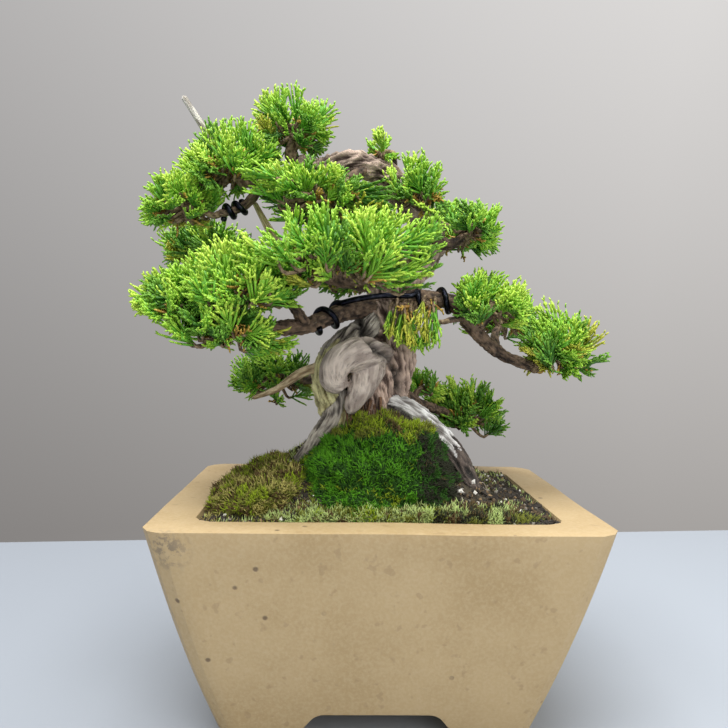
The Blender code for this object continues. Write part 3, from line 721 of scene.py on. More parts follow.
def woodTone(wood, height, shade=1.0):
    dark, light = woodTones[wood]
    share = clamped((height + 0.05) / 0.8)
    share = share * share * (3 - 2 * share)
    return [(d + (l - d) * share) * shade for d, l in zip(dark, light)] + [1]


def nearestOnLimbs(points, limbs):
    # For each point: the limb whose surface is nearest, the step on it, and the depth under it.
    best = np.full(len(points), 1e9)
    owner = np.zeros(len(points), int)
    step = np.zeros(len(points), int)
    for number, limb in enumerate(limbs):
        for start in range(0, len(points), 4000):
            some = points[start:start + 4000]
            apart = np.linalg.norm(some[:, None] - limb.line[None], axis=2)
            over = apart - limb.radii[None]
            at = over.argmin(axis=1)
            depth = over[np.arange(len(some)), at]
            better = depth < best[start:start + 4000]
            best[start:start + 4000][better] = depth[better]
            owner[start:start + 4000][better] = number
            step[start:start + 4000][better] = at[better]
    return owner, step, best


def inCleft(place, normal):
    # 1 along the middle of the trunk's cleft, falling to 0 beside it and round the trunk.
    lowest, highest = trunk["cleftHeights"]
    if normal[1] > 0.2 or not lowest < place[2] < highest:
        return 0
    spot = Vector((place[0], place[2]))
    wander = noise.noise(Vector((place[0], place[2], 4)) * 0.35) * 1.6
    apart = math.inf
    for a, b in zip(trunk["cleft"], trunk["cleft"][1:]):
        start, run = Vector(a), Vector(b) - Vector(a)
        share = clamped((spot - start).dot(run) / run.dot(run))
        apart = min(apart, (spot - start - run * share).length)
    return math.exp(-((apart + wander) / trunk["cleftWidth"]) ** 2)


def makeTrunk():
    limbs = [Limb(trunk["points"], trunk["radii"], 1.0, "bark")]
    for points, radii, wood in swellings.values():
        limbs.append(Limb(points, radii, 1.0, wood))
    skins = [tubeArrays(limb, 24, tipLength=2) for limb in limbs]
    piece = meshPiece("trunkBark", *joined(skins), woodLook())
    onlySelect(piece)
    fuse = piece.modifiers.new("fuse", "REMESH")
    fuse.mode = "VOXEL"
    fuse.voxel_size = trunk["voxel"] * mm
    bpy.ops.object.modifier_apply(modifier="fuse")
    blend = piece.modifiers.new("blend", "SMOOTH")
    blend.factor = 0.5
    blend.iterations = 6
    bpy.ops.object.modifier_apply(modifier="blend")
    mesh = piece.data
    places = np.zeros(len(mesh.vertices) * 3)
    normals = np.zeros(len(mesh.vertices) * 3)
    mesh.vertices.foreach_get("co", places)
    mesh.vertices.foreach_get("normal", normals)
    places = (places.reshape(-1, 3) - np.array(potMiddle)) / mm
    normals = normals.reshape(-1, 3)
    owner, step, _ = nearestOnLimbs(places, limbs)
    tones, grains = [], []
    for k in range(len(places)):
        limb = limbs[owner[k]]
        at = step[k]
        offset = places[k] - limb.line[at]
        across, up, along = (offset.dot(way[at]) for way in (limb.side, limb.up, limb.ahead))
        spot = grainPoint(across, up, limb.along[at] + along, limb.wood, limb.seed)
        height = furrow(spot)
        depth = woodGrain[limb.wood][0] * min(1, limb.radii[at] / 4)
        # The cleft is pushed in, and painted shade darkens its bark almost to black.
        cleft = inCleft(places[k], normals[k])
        low, top = places[k][2], normals[k][2]
        places[k] += normals[k] * ((height - 0.45) * depth - cleft * trunk["cleftDepth"])
        # Painted shade: the bark grows darker high on the trunk, where the crown shades it.
        shade = (1 - 0.93 * cleft) * (1 - 0.3 * clamped((low - trunk["crownShadeAbove"]) / 20))
        wood = limb.wood
        # Painted shade: where the root faces down it takes the dark root tone, which it also has towards
        # its right end.
        under = top + 0.35 * noise.noise(spot * 1.5) < 0.12
        if wood == "root" and (under or places[k][0] > trunk["darkRootRight"] + height * 4):
            wood = "charred"
        elif wood in ("dead", "grey"):
            # Painted shade: dead and grey wood grows darker low down, at the trunk's foot.
            shade *= 0.35 + 0.65 * clamped((low - trunk["footShadeBelow"]) / 10)
        if wood == "dead" and low > trunk["greyAbove"] + 6 * noise.noise(spot):
            wood = "grey"
        tones.append(woodTone(wood, height, shade))
        grains.append(spot)
    mesh.vertices.foreach_set("co", toMetres(places).ravel())
    mesh.update()
    paintWood(piece, tones, grains)
    piece.data.shade_smooth()
    return keep(piece, "bark", "trunk")


makeTrunk()
print("trunk done")


def limbSkin(limb, sides, lumps):
    # The skin of a free limb with its relief, tones and grain.
    angles = np.arange(sides) * math.tau / sides
    relief = np.zeros((len(limb.line), sides))
    tones, grains = [], []
    depth = woodGrain[limb.wood][0] * 0.55
    for step, radius in enumerate(limb.radii):
        swell = noise.noise(Vector((limb.along[step] / 6, limb.seed, 0))) * lumps * radius
        for i, angle in enumerate(angles):
            across, up = radius * math.cos(angle), radius * math.sin(angle)
            spot = grainPoint(across, up, limb.along[step], limb.wood, limb.seed)
            height = furrow(spot * 1.25)
            relief[step, i] = (height - 0.45) * depth * min(1, radius / 2.5) + swell
            tones.append(woodTone(limb.wood, height))
            grains.append(spot)
    tones += [tones[0], tones[-1]]
    grains += [grains[0], grains[-1]]
    return tubeArrays(limb, sides, relief), tones, grains


def makeLimbs(name, limbs, slot, nodes, sides=22, lumps=0.16):
    skins, tones, grains = [], [], []
    for limb in limbs:
        skin, some, spots = limbSkin(limb, sides, lumps)
        skins.append(skin)
        tones += some
        grains += spots
    piece = meshPiece(name, *joined(skins), bpy.data.materials["weathered wood"])
    paintWood(piece, tones, grains)
    return keep(piece, slot, *nodes)


def hangingRoots(count=26):
    # Fine brown roots that hang in front of the trunk's foot, under the curled root.
    rng = random.Random(21)
    found = []
    for _ in range(count):
        x = rng.uniform(-13, 1)
        top = Vector((x, rng.uniform(-12.5, -9.5), rng.uniform(108, 115)))
        foot = top + Vector((rng.uniform(-2, 2), rng.uniform(-3, -0.5), rng.uniform(-17, -10)))
        middle = top.lerp(foot, 0.5) + Vector((rng.uniform(-1.2, 1.2), rng.uniform(-1, 0.5), 0))
        thick = rng.uniform(0.22, 0.5)
        found.append(Limb((top, middle, foot), (thick, thick * 0.6), 0.6, "fibre"))
    return found


boughLimbs = {name: Limb(points, radii, 0.6, "oldBark") for name, (points, radii) in boughs.items()}
jinLimbs = {name: Limb(points, radii, 0.6, wood) for name, (points, radii, wood) in jins.items()}
makeLimbs("boughBark", boughLimbs.values(), "bark", list(boughs))
makeLimbs("deadStubs", jinLimbs.values(), "deadwood", list(jins), lumps=0.1)
makeLimbs("fineRoots", hangingRoots(), "bark", [], sides=6)
print("boughs done")


# Wire wound round a limb: the shares of its length where it starts and ends, and its angle there in
# turns from the front.

wire = {
    "radius": 1.1, "gap": -0.35,
    "coils": {
        "left": ("bough_left", (0.44, 0.27), (1.9, 0.15)),
        "right": ("bough_right", (0.2, 0.4), (-0.1, 1.4)),
        "trunk": ("trunk", (0.44, 0.6), (-0.42, 0.0)),
        "leftTip": ("bough_left_tip", (0.45, 0.93), (0.3, 2.8)),
    },
    "crossing": ((-7, -8.5, 151), (3, -6, 152.5), (12, -6.5, 152.5)),
}


def coil(name, shares, turns):
    points, radii = (trunk["points"], trunk["radii"]) if name == "trunk" else boughs[name]
    path = smoothPath(points, 8)
    limbRadii = spread(radii, len(path))
    ahead = [(b - a).normalized() for a, b in zip(path[:1] + path, path[1:] + path[-1:])]
    steps = 1 + round(abs(turns[1] - turns[0]) * 9)
    wound = []
    for step in range(steps + 1):
        at = (shares[0] + (shares[1] - shares[0]) * step / steps) * (len(path) - 1)
        low = min(int(at), len(path) - 2)
        centre = path[low].lerp(path[low + 1], at - low)
        along = ahead[low].lerp(ahead[low + 1], at - low).normalized()
        front = Vector((0, -1, 0))
        front = (front - along * front.dot(along)).normalized()
        angle = math.tau * (turns[0] + (turns[1] - turns[0]) * step / steps)
        out = front * math.cos(angle) + along.cross(front) * math.sin(angle)
        wound.append(centre + out * (limbRadii[low] + wire["radius"] + wire["gap"]))
    return wound


def wirePaths():
    wound = {label: coil(*details) for label, details in wire["coils"].items()}
    crossing = smoothPath((wound["left"][-1], *wire["crossing"], wound["right"][0]), 3)
    return {
        "wire_lower_boughs": wound["left"][:-1] + crossing + wound["right"][1:],
        "wire_trunk": wound["trunk"],
        "wire_left_tip": wound["leftTip"],
    }


def wireLook():
    look = Look("dark annealed wire", roughness=0.3, Metallic=1.0)
    where = look.place()
    scuff = look.noise(where, 500, 4, 0.7)
    colour = look.blend(scuff.above(0.45, 0.75), (0.012, 0.013, 0.02), (0.06, 0.065, 0.08))
    return look.wear(colour, scuff * 0.35 + 0.16, scuff, 0.0002, 0.4)


def makeWires():
    paths = wirePaths()
    limbs = [Limb(path, (wire["radius"], wire["radius"]), 0.8) for path in paths.values()]
    skins = [tubeArrays(limb, 16, tipLength=0.5) for limb in limbs]
    keep(meshPiece("trainingWire", *joined(skins), wireLook()), "wire", *paths)


makeWires()
print("wire done")


# Foliage: the limb that carries each mass, the middle and half sizes of its space, its greens, the
# degrees that its right side hangs lower, and how full it is

masses = {
    "foliage_apex": ("trunk", (-32, -4, 216), (16, 17, 12), "sunny", 10, 0.8),
    "foliage_upper_left": ("bough_upper_left", (-58, -8, 200), (19, 18, 14), "sunny", -32, 1),
    "foliage_left_tip": ("bough_left_tip", (-74, -12, 185), (13, 15, 11), "green", -10, 0.9),
    "foliage_upper_front": ("bough_upper_front", (-24, -17, 189), (25, 15, 10), "green", 7, 0.9),
    "foliage_top_right": ("bough_top_right", (-1, 1, 209), (10, 10, 8), "green", 0, 1),
    "foliage_right_top": ("bough_right_top", (14, -8, 193), (11, 14, 14), "green", 8, 0.9),
    "foliage_upper_right": ("bough_upper_right", (35, -2, 181), (12, 15, 10), "green", 10, 0.9),
    "foliage_front": ("bough_front", (-18, -35, 165), (31, 20, 15), "sunny", -5, 1),
    "foliage_front_left": ("bough_left_side", (-47, -33, 154), (19, 18, 14), "sunny", -12, 1),
    "foliage_left": ("bough_left", (-71, -22, 150), (15, 19, 12), "green", -4, 1),
    "foliage_left_low": ("bough_left_low", (-52, -32, 139), (22, 17, 10), "shaded", 12, 0.9),
    "foliage_back_left": ("bough_back_left", (-70, 23, 173), (20, 18, 11), "shaded", 0, 1),
    "foliage_hanging": ("bough_hanging", (19, -12, 143), (15, 9, 10), "yellow", 0, 1),
    "foliage_right": ("bough_right_side", (41, -9, 151), (17, 17, 12), "sunny", 8, 0.9),
    "foliage_right_tip": ("bough_right", (71, 0, 134), (17, 19, 16), "green", 8, 0.95),
    "foliage_back_right_low": ("bough_back_right_low", (57, 33, 147), (17, 18, 10), "green", 8, 1),
    "foliage_low_right": ("bough_low_right", (42, 46, 105), (19, 17, 14), "shaded", 0, 0.9),
    "foliage_low_right_side": ("bough_low_right_side", (22, 33, 115), (9, 12, 8), "shaded", 0, 0.8),
    "foliage_low_left": ("bough_low_left", (-45, 48, 119), (19, 17, 12), "shaded", 0, 1),
    "foliage_back": ("bough_back", (-4, 46, 166), (28, 19, 14), "green", 0, 1),
    "foliage_back_upper": ("bough_back_upper", (-20, 30, 194), (27, 18, 13), "green", 0, 1),
    "foliage_back_right": ("bough_back_right", (36, 32, 184), (18, 17, 13), "green", 6, 1),
}

sprigs = {
    "perArea": 0.055, "lengths": (16, 25), "cords": (11, 15), "angles": (46, 16), "starts": (0.1, 0.72),
    "shortest": 4.5, "longest": 16, "cordRadius": 0.5, "outOfPlane": 0.3, "uneven": (0.5, 0.4),
    "rootSpread": 0.5, "rootLow": 0.32, "stray": 0.42, "outermost": 1.14,
    "nubs": 3, "nubLength": (1.4, 3.0), "nubRadius": 0.4, "nubAngle": 34,
    "twigRadii": (0.95, 0.5), "lowest": -0.68, "tries": 3, "spaceMargin": -0.12, "limbMargin": 0.7,
    "dryChance": 0.3, "dryCords": 4, "dryLengths": (4, 8), "hanging": (11, 19), "hangingAngles": 0.42,
    "hangingCords": 6, "twigMargin": 1.2, "leastKept": 3.2, "tipFrom": 0.62, "mostTriangles": 190000,
}

# Between these corners nothing grows, so that the dead stub on the left shows between two pads.
opening = ((-47, -62, 170.5), (-33, -4, 186))

# Greens of the cords and of their tips.
greens = {
    "deep": ((0.07, 0.22, 0.026), (0.17, 0.38, 0.04)),
    "fresh": ((0.15, 0.42, 0.035), (0.35, 0.62, 0.055)),
    "light": ((0.23, 0.5, 0.04), (0.52, 0.75, 0.085)),
    "olive": ((0.3, 0.36, 0.035), (0.56, 0.58, 0.07)),
    "dry": ((0.3, 0.16, 0.035), (0.56, 0.36, 0.07)),
}

# How often each of them is dealt out in a mass, high and low in it: lighter greens high up are painted
# light, deeper greens low down painted shade.
dealing = {
    "sunny": ((0.1, 0.44, 0.44, 0.02), (0.32, 0.46, 0.16, 0.06)),
    "green": ((0.2, 0.5, 0.28, 0.02), (0.42, 0.42, 0.1, 0.06)),
    "shaded": ((0.36, 0.48, 0.14, 0.02), (0.6, 0.3, 0.04, 0.06)),
    "yellow": ((0.0, 0.2, 0.4, 0.4), (0.0, 0.3, 0.4, 0.3)),
}

# Steps that spread any number of directions evenly.
evenSteps = (0.7548776662, 0.5698402910)


def stemPath(name):
    carrier, middle = masses[name][:2]
    points, radii = (trunk["points"], trunk["radii"]) if carrier == "trunk" else boughs[carrier]
    before, tip = smoothPath(points, 2)[-2:]
    ahead = (tip - before).normalized()
    start = tip - ahead * 0.5
    middle = Vector(middle)
    return [start, start + ahead * 2.5, start.lerp(middle, 0.6) + ahead, middle], radii[-1]


def limbTable():
    # Every limb and wire in short tapering lengths: both ends and both radii.
    rows = []
    limbs = [(trunk["points"], trunk["radii"])]
    limbs += [(points, radii) for points, radii, _ in [*swellings.values(), *jins.values()]]
    limbs += list(boughs.values())
    limbs += [(path, (wire["radius"], wire["radius"])) for path in wirePaths().values()]
    for points, radii in limbs:
        path = smoothPath(points, 4) if len(points) < 14 else points
        widths = spread(radii, len(path))
        for a, b, thick, thin in zip(path, path[1:], widths, widths[1:]):
            rows.append((*a, *b, thick, thin))
    return np.array(rows)


def clearOfLimbs(table, points, margin):
    # For each point, whether it lies outside every limb by the margin.
    start, run = table[:, 0:3], table[:, 3:6] - table[:, 0:3]
    clear = []
    for first in range(0, len(points), 2000):
        offset = points[first:first + 2000, None] - start
        share = np.clip((offset * run).sum(2) / (run**2).sum(1), 0, 1)
        apart = np.linalg.norm(offset - share[:, :, None] * run, axis=2)
        radius = table[:, 6] + (table[:, 7] - table[:, 6]) * share
        clear.append((apart > radius + margin).all(axis=1))
    return np.concatenate(clear)


massMiddles = np.array([details[1] for details in masses.values()], float)
massHalves = np.array([details[2] for details in masses.values()], float)


def depthsIn(points):
    # How far out in each mass's space the points are: 0 in its middle and 1 on its border.
    return np.linalg.norm((points[:, None] - massMiddles) / massHalves, axis=2)


def evenDirections(rng):
    across, around = rng.random(), rng.random()
    while True:
        across = (across + evenSteps[0]) % 1
        around = (around + evenSteps[1]) % 1
        height = sprigs["lowest"] + (1 - sprigs["lowest"]) * across
        level = math.sqrt(1 - height**2)
        turn = math.tau * around
        yield Vector((level * math.cos(turn), level * math.sin(turn), height))


def placeSprigs(name, number, rng):
    # For each sprig of a mass: where its twig starts, its base, the way it points and its length.
    _, middle, half, kind, hang, fullness = masses[name]
    middle, half = Vector(middle), Vector(half)
    path, radius = stemPath(name)
    tilt = Matrix.Rotation(math.radians(hang), 3, "Y")
    area = half.x * half.y + half.x * half.z + half.y * half.z
    wanted = round(fullness * sprigs["perArea"] * area)
    placed = []
    for direction in islice(evenDirections(rng), wanted * sprigs["tries"]):
        if len(placed) == wanted:
            break
        spot = direction + Vector((number * 3.1, 0, 0))
        coarse, fine = noise.noise(spot * 1.4), noise.noise(spot * 3.6)
        uneven = 0.92 + sprigs["uneven"][0] * coarse + sprigs["uneven"][1] * fine
        edge = tilt @ Vector([direction[k] * half[k] * uneven for k in range(3)])
        low = edge * sprigs["rootSpread"]
        low.z = edge.z * 0.25 - half.z * sprigs["rootLow"]
        ahead = (edge - low).normalized() + Vector((0, 0, 0.12))
        ahead = (ahead + Vector([rng.uniform(-1, 1) for _ in range(3)]) * sprigs["stray"]).normalized()
        length = min(rng.uniform(*sprigs["lengths"]), (edge - low).length + 2)
        base = middle + edge - ahead * length
        if kind == "yellow":
            # From the underside of the bough, straight down in front of the trunk.
            ahead = Vector((rng.uniform(-0.3, 0.3), rng.uniform(-0.45, 0.05), -1)).normalized()
            length = rng.uniform(*sprigs["hanging"])
            across = middle.x + direction.x * half.x
            base = Vector((across, -7 + direction.y * 3, 150 + rng.uniform(-3, 4)))
        depths = depthsIn(np.array([base]))[0]
        if depths[number] + sprigs["spaceMargin"] > np.delete(depths, number).min():
            continue
        placed.append((path[2].lerp(middle, rng.uniform(0, 1)), base, ahead, length, direction.z))
    return path, radius, placed


def growSprig(base, ahead, length, rng, hangs=False):
    # A flat spray: cords leave its axis to both sides by turns, and their tips end on one round
    # outline.
    side = Matrix.Rotation(rng.uniform(0, math.tau), 3, ahead) @ ahead.orthogonal().normalized()
    face = ahead.cross(side)
    cords = [(base, ahead, face * rng.uniform(-1, 1), length)]
    count = sprigs["hangingCords"] if hangs else rng.randint(*sprigs["cords"])
    spreading = sprigs["hangingAngles"] if hangs else 1
    (start, end), (low, high) = sprigs["starts"], sprigs["angles"]
    for k in range(count):
        share = k / count
        at = start + (end - start) * share
        tilt = math.radians((low + (high - low) * share + rng.uniform(-7, 7)) * spreading)
        out = side * (1 if k % 2 else -1) + face * rng.gauss(0, sprigs["outOfPlane"])
        way = ahead * math.cos(tilt) + out.normalized() * math.sin(tilt)
        reach = length * (1 - 0.92 * at) * rng.uniform(0.75, 1.15)
        reach = min(max(reach, sprigs["shortest"]), sprigs["longest"])
        bend = ahead * reach * rng.uniform(0, 0.2) + Vector((0, 0, reach * rng.uniform(-0.02, 0.1)))
        cords.append((base + ahead * length * at, way, bend, reach))
    return cords


def cordParts(cords):
    # Where each cord starts, the way it goes, its bend and its reach.
    return cords[:, 0:3], cords[:, 3:6], cords[:, 6:9], cords[:, 9]


def growCrown():
    table = limbTable()
    rng = random.Random(11)
    names = list(greens)
    twigs, cords = [], []
    for number, (name, details) in enumerate(masses.items()):
        path, radius, placed = placeSprigs(name, number, rng)
        stem = Limb(path, (radius, radius * 0.5), 0.8)
        twigs.append(tubeArrays(stem, 8))
        free = clearOfLimbs(table, np.array([place[1] for place in placed]), sprigs["twigMargin"])
        hangs = details[3] == "yellow"
        for (root, base, ahead, length, height), clear in zip(placed, free):
            if not clear:
                continue
            if hangs:
                root = Vector((base.x * 0.8 + 3, -3.5, 151))
            bow = Vector((rng.uniform(-1, 1), rng.uniform(-1, 1), rng.uniform(-1.5, 0.5)))
            ends = (root, root.lerp(base, 0.5) + bow, base, base + ahead * length * 0.3)
            twigs.append(tubeArrays(Limb(ends, sprigs["twigRadii"], 1.6), 5, tipLength=0.3))
            # Painted light and shade: sprigs high in a mass draw lighter greens, low ones deeper greens.
            chances = dealing[details[3]][0 if height + rng.uniform(-0.3, 0.3) > 0.05 else 1]
            green = rng.choices(range(len(chances)), chances)[0]
            if hangs and base.x > details[1][0]:
                green = names.index("fresh")
            for first, way, bend, reach in growSprig(base, ahead, length, rng, hangs):
                cords.append((*first, *way, *bend, reach, green, number))
            if rng.random() < sprigs["dryChance"]:
                for _ in range(sprigs["dryCords"]):
                    way = (ahead + Vector([rng.uniform(-0.9, 0.9) for _ in range(3)])).normalized()
                    start = root.lerp(base, rng.uniform(0.6, 1))
                    reach = rng.uniform(*sprigs["dryLengths"])
                    cords.append((*start, *way, 0, 0, 0, reach, names.index("dry"), number))
    cords = np.array(cords)
    # A cord that would leave its mass's space is shortened, and one that would touch a limb or
    # enter the opening is left out.
    starts, ways, bends, reach = cordParts(cords)
    ends = starts + ways * reach[:, None] + bends
    depth = depthsIn(ends)[np.arange(len(ends)), cords[:, 11].astype(int)]
    reach *= np.clip(sprigs["outermost"] / np.maximum(depth, 1e-6), 0.4, 1)
    fine = reach > sprigs["leastKept"]
    for share in (0.3, 0.65, 1):
        places = starts + ways * (reach * share)[:, None] + bends * share**2
        fine &= clearOfLimbs(table, places, sprigs["limbMargin"])
        fine &= ~((places > opening[0]) & (places < opening[1])).all(axis=1)
    return joined(twigs), cords[fine]


def makeNubs(cords, pick):
    # Short side shoots near the end of each cord, to one side and the other by turns.
    starts, ways, bends, reach = cordParts(cords)
    flat = np.cross(ways, pick.normal(size=ways.shape))
    flat /= np.linalg.norm(flat, axis=1)[:, None]
    angle = math.radians(sprigs["nubAngle"])
    parts = []
    for k in range(sprigs["nubs"]):
        share = 0.42 + 0.46 * k / (sprigs["nubs"] - 1) + pick.uniform(-0.06, 0.06, len(cords))
        root = starts + ways * (reach * share)[:, None] + bends * (share**2)[:, None]
        side = flat * (1 if k % 2 else -1)
        ahead = ways * math.cos(angle) + side * math.sin(angle) + bends / reach[:, None]
        ahead /= np.linalg.norm(ahead, axis=1)[:, None]
        length = pick.uniform(*sprigs["nubLength"], len(cords)) * (1.15 - 0.5 * share)
        wide = sprigs["nubRadius"] * pick.uniform(0.85, 1.1, len(cords))
        parts.append(rods(root, ahead, bends * 0.1, length, (wide * 0.85, wide, 0), (0, 0.62, 1)))
    return joined(parts)


def plainGreen(name, colour):
    return Look(name, roughness=0.5, Specular_IOR_Level=0.35).wear(colour)


def twigLook():
    look = Look("twig bark", roughness=0.85)
    tint = look.noise(look.place(), 700, 3)
    colour = look.blend(tint.above(0.35, 0.65), (0.09, 0.055, 0.03), (0.33, 0.24, 0.14))
    return look.wear(colour, None, tint, 0.0003)


def makeCrown():
    woody, cords = growCrown()
    keep(meshPiece("twigs", *woody, twigLook()), "bark", *masses)
    pick = np.random.default_rng(3)
    print(f"{len(cords)} cords")
    tipFrom = sprigs["tipFrom"]
    for number, (name, (body, tip)) in enumerate(greens.items()):
        some = cords[cords[:, 10] == number]
        starts, ways, bends, reach = cordParts(some)
        wide = sprigs["cordRadius"] * pick.uniform(0.85, 1.12, len(some))
        lower = rods(starts, ways, bends, reach, (wide * 0.75, wide, wide), (0, 0.35, 0.64))
        keep(meshPiece(f"cords_{name}", *lower, plainGreen(f"{name} cords", body)), "foliage")
        middle = starts + ways * (reach * tipFrom)[:, None] + bends * tipFrom**2
        bent = ways * reach[:, None] + bends * 2 * tipFrom
        bent /= np.linalg.norm(bent, axis=1)[:, None]
        upper = rods(middle, bent, bends * 0.14, reach * 0.38, (wide, wide * 0.9, 0), (0, 0.7, 1))
        tips = joined([upper, makeNubs(some, pick)])
        pieces = 1 + len(tips[1]) // sprigs["mostTriangles"]
        for part in range(pieces):
            faces = tips[1][part * len(tips[1]) // pieces:(part + 1) * len(tips[1]) // pieces]
            used = np.unique(faces)
            renumber = np.zeros(len(tips[0]), int)
            renumber[used] = np.arange(len(used))
            look = plainGreen(f"{name} tips {part}", tip)
            keep(meshPiece(f"tips_{name}_{part}", tips[0][used], renumber[faces], look), "foliage")


makeCrown()
print("crown done")


# Moss cushions, tufts over the ground, lichen and grit

# Each cushion's middle, half sizes, and turns about X and Y.
mosses = {
    "moss_front": ((1, -21, 91), (25, 21, 14), (44, 0)),
    "moss_left": ((-42, -8, 80), (19, 30, 8), (0, -24)),
    "moss_edge": ((8, -38, 75), (46, 7.5, 5), (0, 0)),
}

# The colour of each kind of moss and its slot.
mossKinds = {
    "bright": ((0.085, 0.29, 0.003), "moss"),
    "deep": ((0.024, 0.1, 0.002), "moss"),
    "yellow": ((0.27, 0.37, 0.01), "moss"),
    # dark is painted shade, for moss and ground on the right, in the root's shade.
    "dark": ((0.02, 0.022, 0.008), "moss"),
    "olive": ((0.17, 0.19, 0.02), "olive_moss"),
    "brown": ((0.11, 0.07, 0.022), "olive_moss"),
    "straw": ((0.4, 0.36, 0.1), "olive_moss"),
    "pale": ((0.4, 0.5, 0.17), "olive_moss"),
}

# What grows in each place, by clumps and patches. On the right, the dark kind is painted shade.
growing = {
    "moss_front": ("yellow", "deep", "bright", "bright", "deep", "bright", "bright"),
    "hilltop": ("brown", "olive", "yellow", "olive", "brown"),
    "hillRight": ("dark", "dark", "deep", "dark", "brown"),
    "moss_left": ("brown", "olive", "yellow", "brown", "straw", "olive", "brown"),
    "moss_edge": ("dark", "pale", "olive", "pale", "brown", "pale", "yellow"),
    "edgeRight": ("dark", "olive", "dark", "brown", "pale", "dark"),
    "ground": ("brown", "olive", "dark", "pale", "olive", "straw", "brown"),
    "groundRight": ("dark", "brown", "pale", "dark", "olive"),
}

tufts = {
    "count": {"moss_front": 13000, "moss_left": 7500, "moss_edge": 5500, "ground": 14000},
    "length": (1.1, 3.1), "radius": (0.13, 0.26), "lean": 0.55, "patch": 0.1, "hilltop": 102,
    "flare": 0.5, "clump": 4.5, "clumpHeight": 3, "ownShare": 0.6, "bareRight": 0.05, "bareLeft": -0.4,
    "groundTurns": 14, "hillTurns": 13, "edgeTurns": 20, "limbMargin": 0.2,
}


def bareLook(name, colour, roughness=0.9):
    return Look(name, roughness=roughness).wear(colour)


def clump(place):
    # How high a place stands on its clump of moss, and a number from 0 to 1 that is the clump's own.
    apart, middles = noise.voronoi(place / tufts["clump"])
    return (0.45 - apart[0]) * tufts["clumpHeight"], (noise.cell(middles[0] * 9.1) + 1) / 2


def onCushion(name, direction):
    # The place and the outward direction on a moss cushion, on its bumpy surface.
    middle, half, turn = mosses[name]
    turned = Euler((math.radians(turn[0]), math.radians(turn[1]), 0)).to_matrix()
    local = Vector([direction[k] * half[k] for k in range(3)])
    out = (turned @ Vector([direction[k] / half[k] for k in range(3)])).normalized()
    place = Vector(middle) + turned @ local
    bump = noise.noise(place * 0.1) * 5 + noise.noise(place * 0.25) * 2.2
    place += out * (bump * min(1, half[2] / 14) + clump(place)[0])
    if name == "moss_front":
        # It leaves the left roots bare.
        place -= out * 5.5 * clamped((-6 - place.x) / 6) * clamped((place.z - 92) / 6)
    # Near the ground its foot spreads, so that it nowhere overhangs.
    low = min(12, max(0, groundHeight(place.x, place.y) + 9 - place.z)) * min(1, half[2] / 14)
    place += Vector((out.x, out.y, 0)).normalized() * low * tufts["flare"]
    for axis, wall in enumerate(insideWidth(soil["edge"])):
        place[axis] = min(wall - 0.5, max(0.5 - wall, place[axis]))
    return place, out


def makeCushion(name, slot):
    dark = mossKinds[growing[name][1]][0]
    look = Look(f"{name} bed", roughness=0.95)
    tuft = look.noise(look.place(), 450, 4, 0.7)
    colour = look.blend(tuft.above(0.35, 0.7), [c * 0.4 for c in dark], dark)
    bpy.ops.object.select_all(action="DESELECT")
    bpy.ops.mesh.primitive_ico_sphere_add(subdivisions=6, radius=1, location=(0, 0, 0))
    piece = bpy.context.object
    piece.name = f"{name}_bed"
    for corner in piece.data.vertices:
        place, out = onCushion(name, corner.co.normalized())
        corner.co = potMiddle + (place - out * 0.8) * mm
    piece.data.materials.append(look.wear(colour, None, tuft, 0.0015, 0.9))
    piece.data.shade_smooth()
    return keep(piece, slot, name)


def tuftSpots(region, rng):
    # Places and outward directions of the tufts of one cushion, or of the ground between them.
    wide, deep = insideWidth(soil["edge"])
    spots = []
    wanted = tufts["count"][region]
    for _ in range(wanted * 6):
        if len(spots) == wanted:
            break
        if region == "ground":
            x, y = rng.uniform(1 - wide, wide - 1), rng.uniform(1 - deep, deep - 1)
            bare = tufts["bareRight" if x > tufts["groundTurns"] else "bareLeft"]
            if noise.noise(Vector((x, y, 1)) * 0.09) + rng.uniform(-0.15, 0.15) < bare:
                continue
            spots.append((Vector((x, y, roughGround(x, y))), Vector((0, 0, 1))))
            continue
        place, out = onCushion(region, Vector([rng.gauss(0, 1) for _ in range(3)]).normalized())
        if out.z > -0.75 and place.z > groundHeight(place.x, place.y) - 0.5:
            out.z = max(out.z, 0.1)
            spots.append((place, out.normalized()))
    free = clearOfLimbs(limbTable(), np.array([place for place, _ in spots]), tufts["limbMargin"])
    return [spot for spot, clear in zip(spots, free) if clear]


def kindsAt(region, place):
    # The kinds that grow on top of the hill differ from the rest of their region; on the right they are
    # darker, mostly painted shade.
    wander = noise.noise(place * 0.2)
    if region == "moss_front" and place.z > tufts["hilltop"] + 5 * noise.noise(place * 0.15):
        return growing["hilltop"]
    if region == "moss_front" and place.x > tufts["hillTurns"] + 4 * wander:
        return growing["hillRight"]
    if region == "moss_edge" and place.x > tufts["edgeTurns"] + 8 * wander:
        return growing["edgeRight"]
    if region == "ground" and place.x > tufts["groundTurns"]:
        return growing["groundRight"]
    return growing[region]


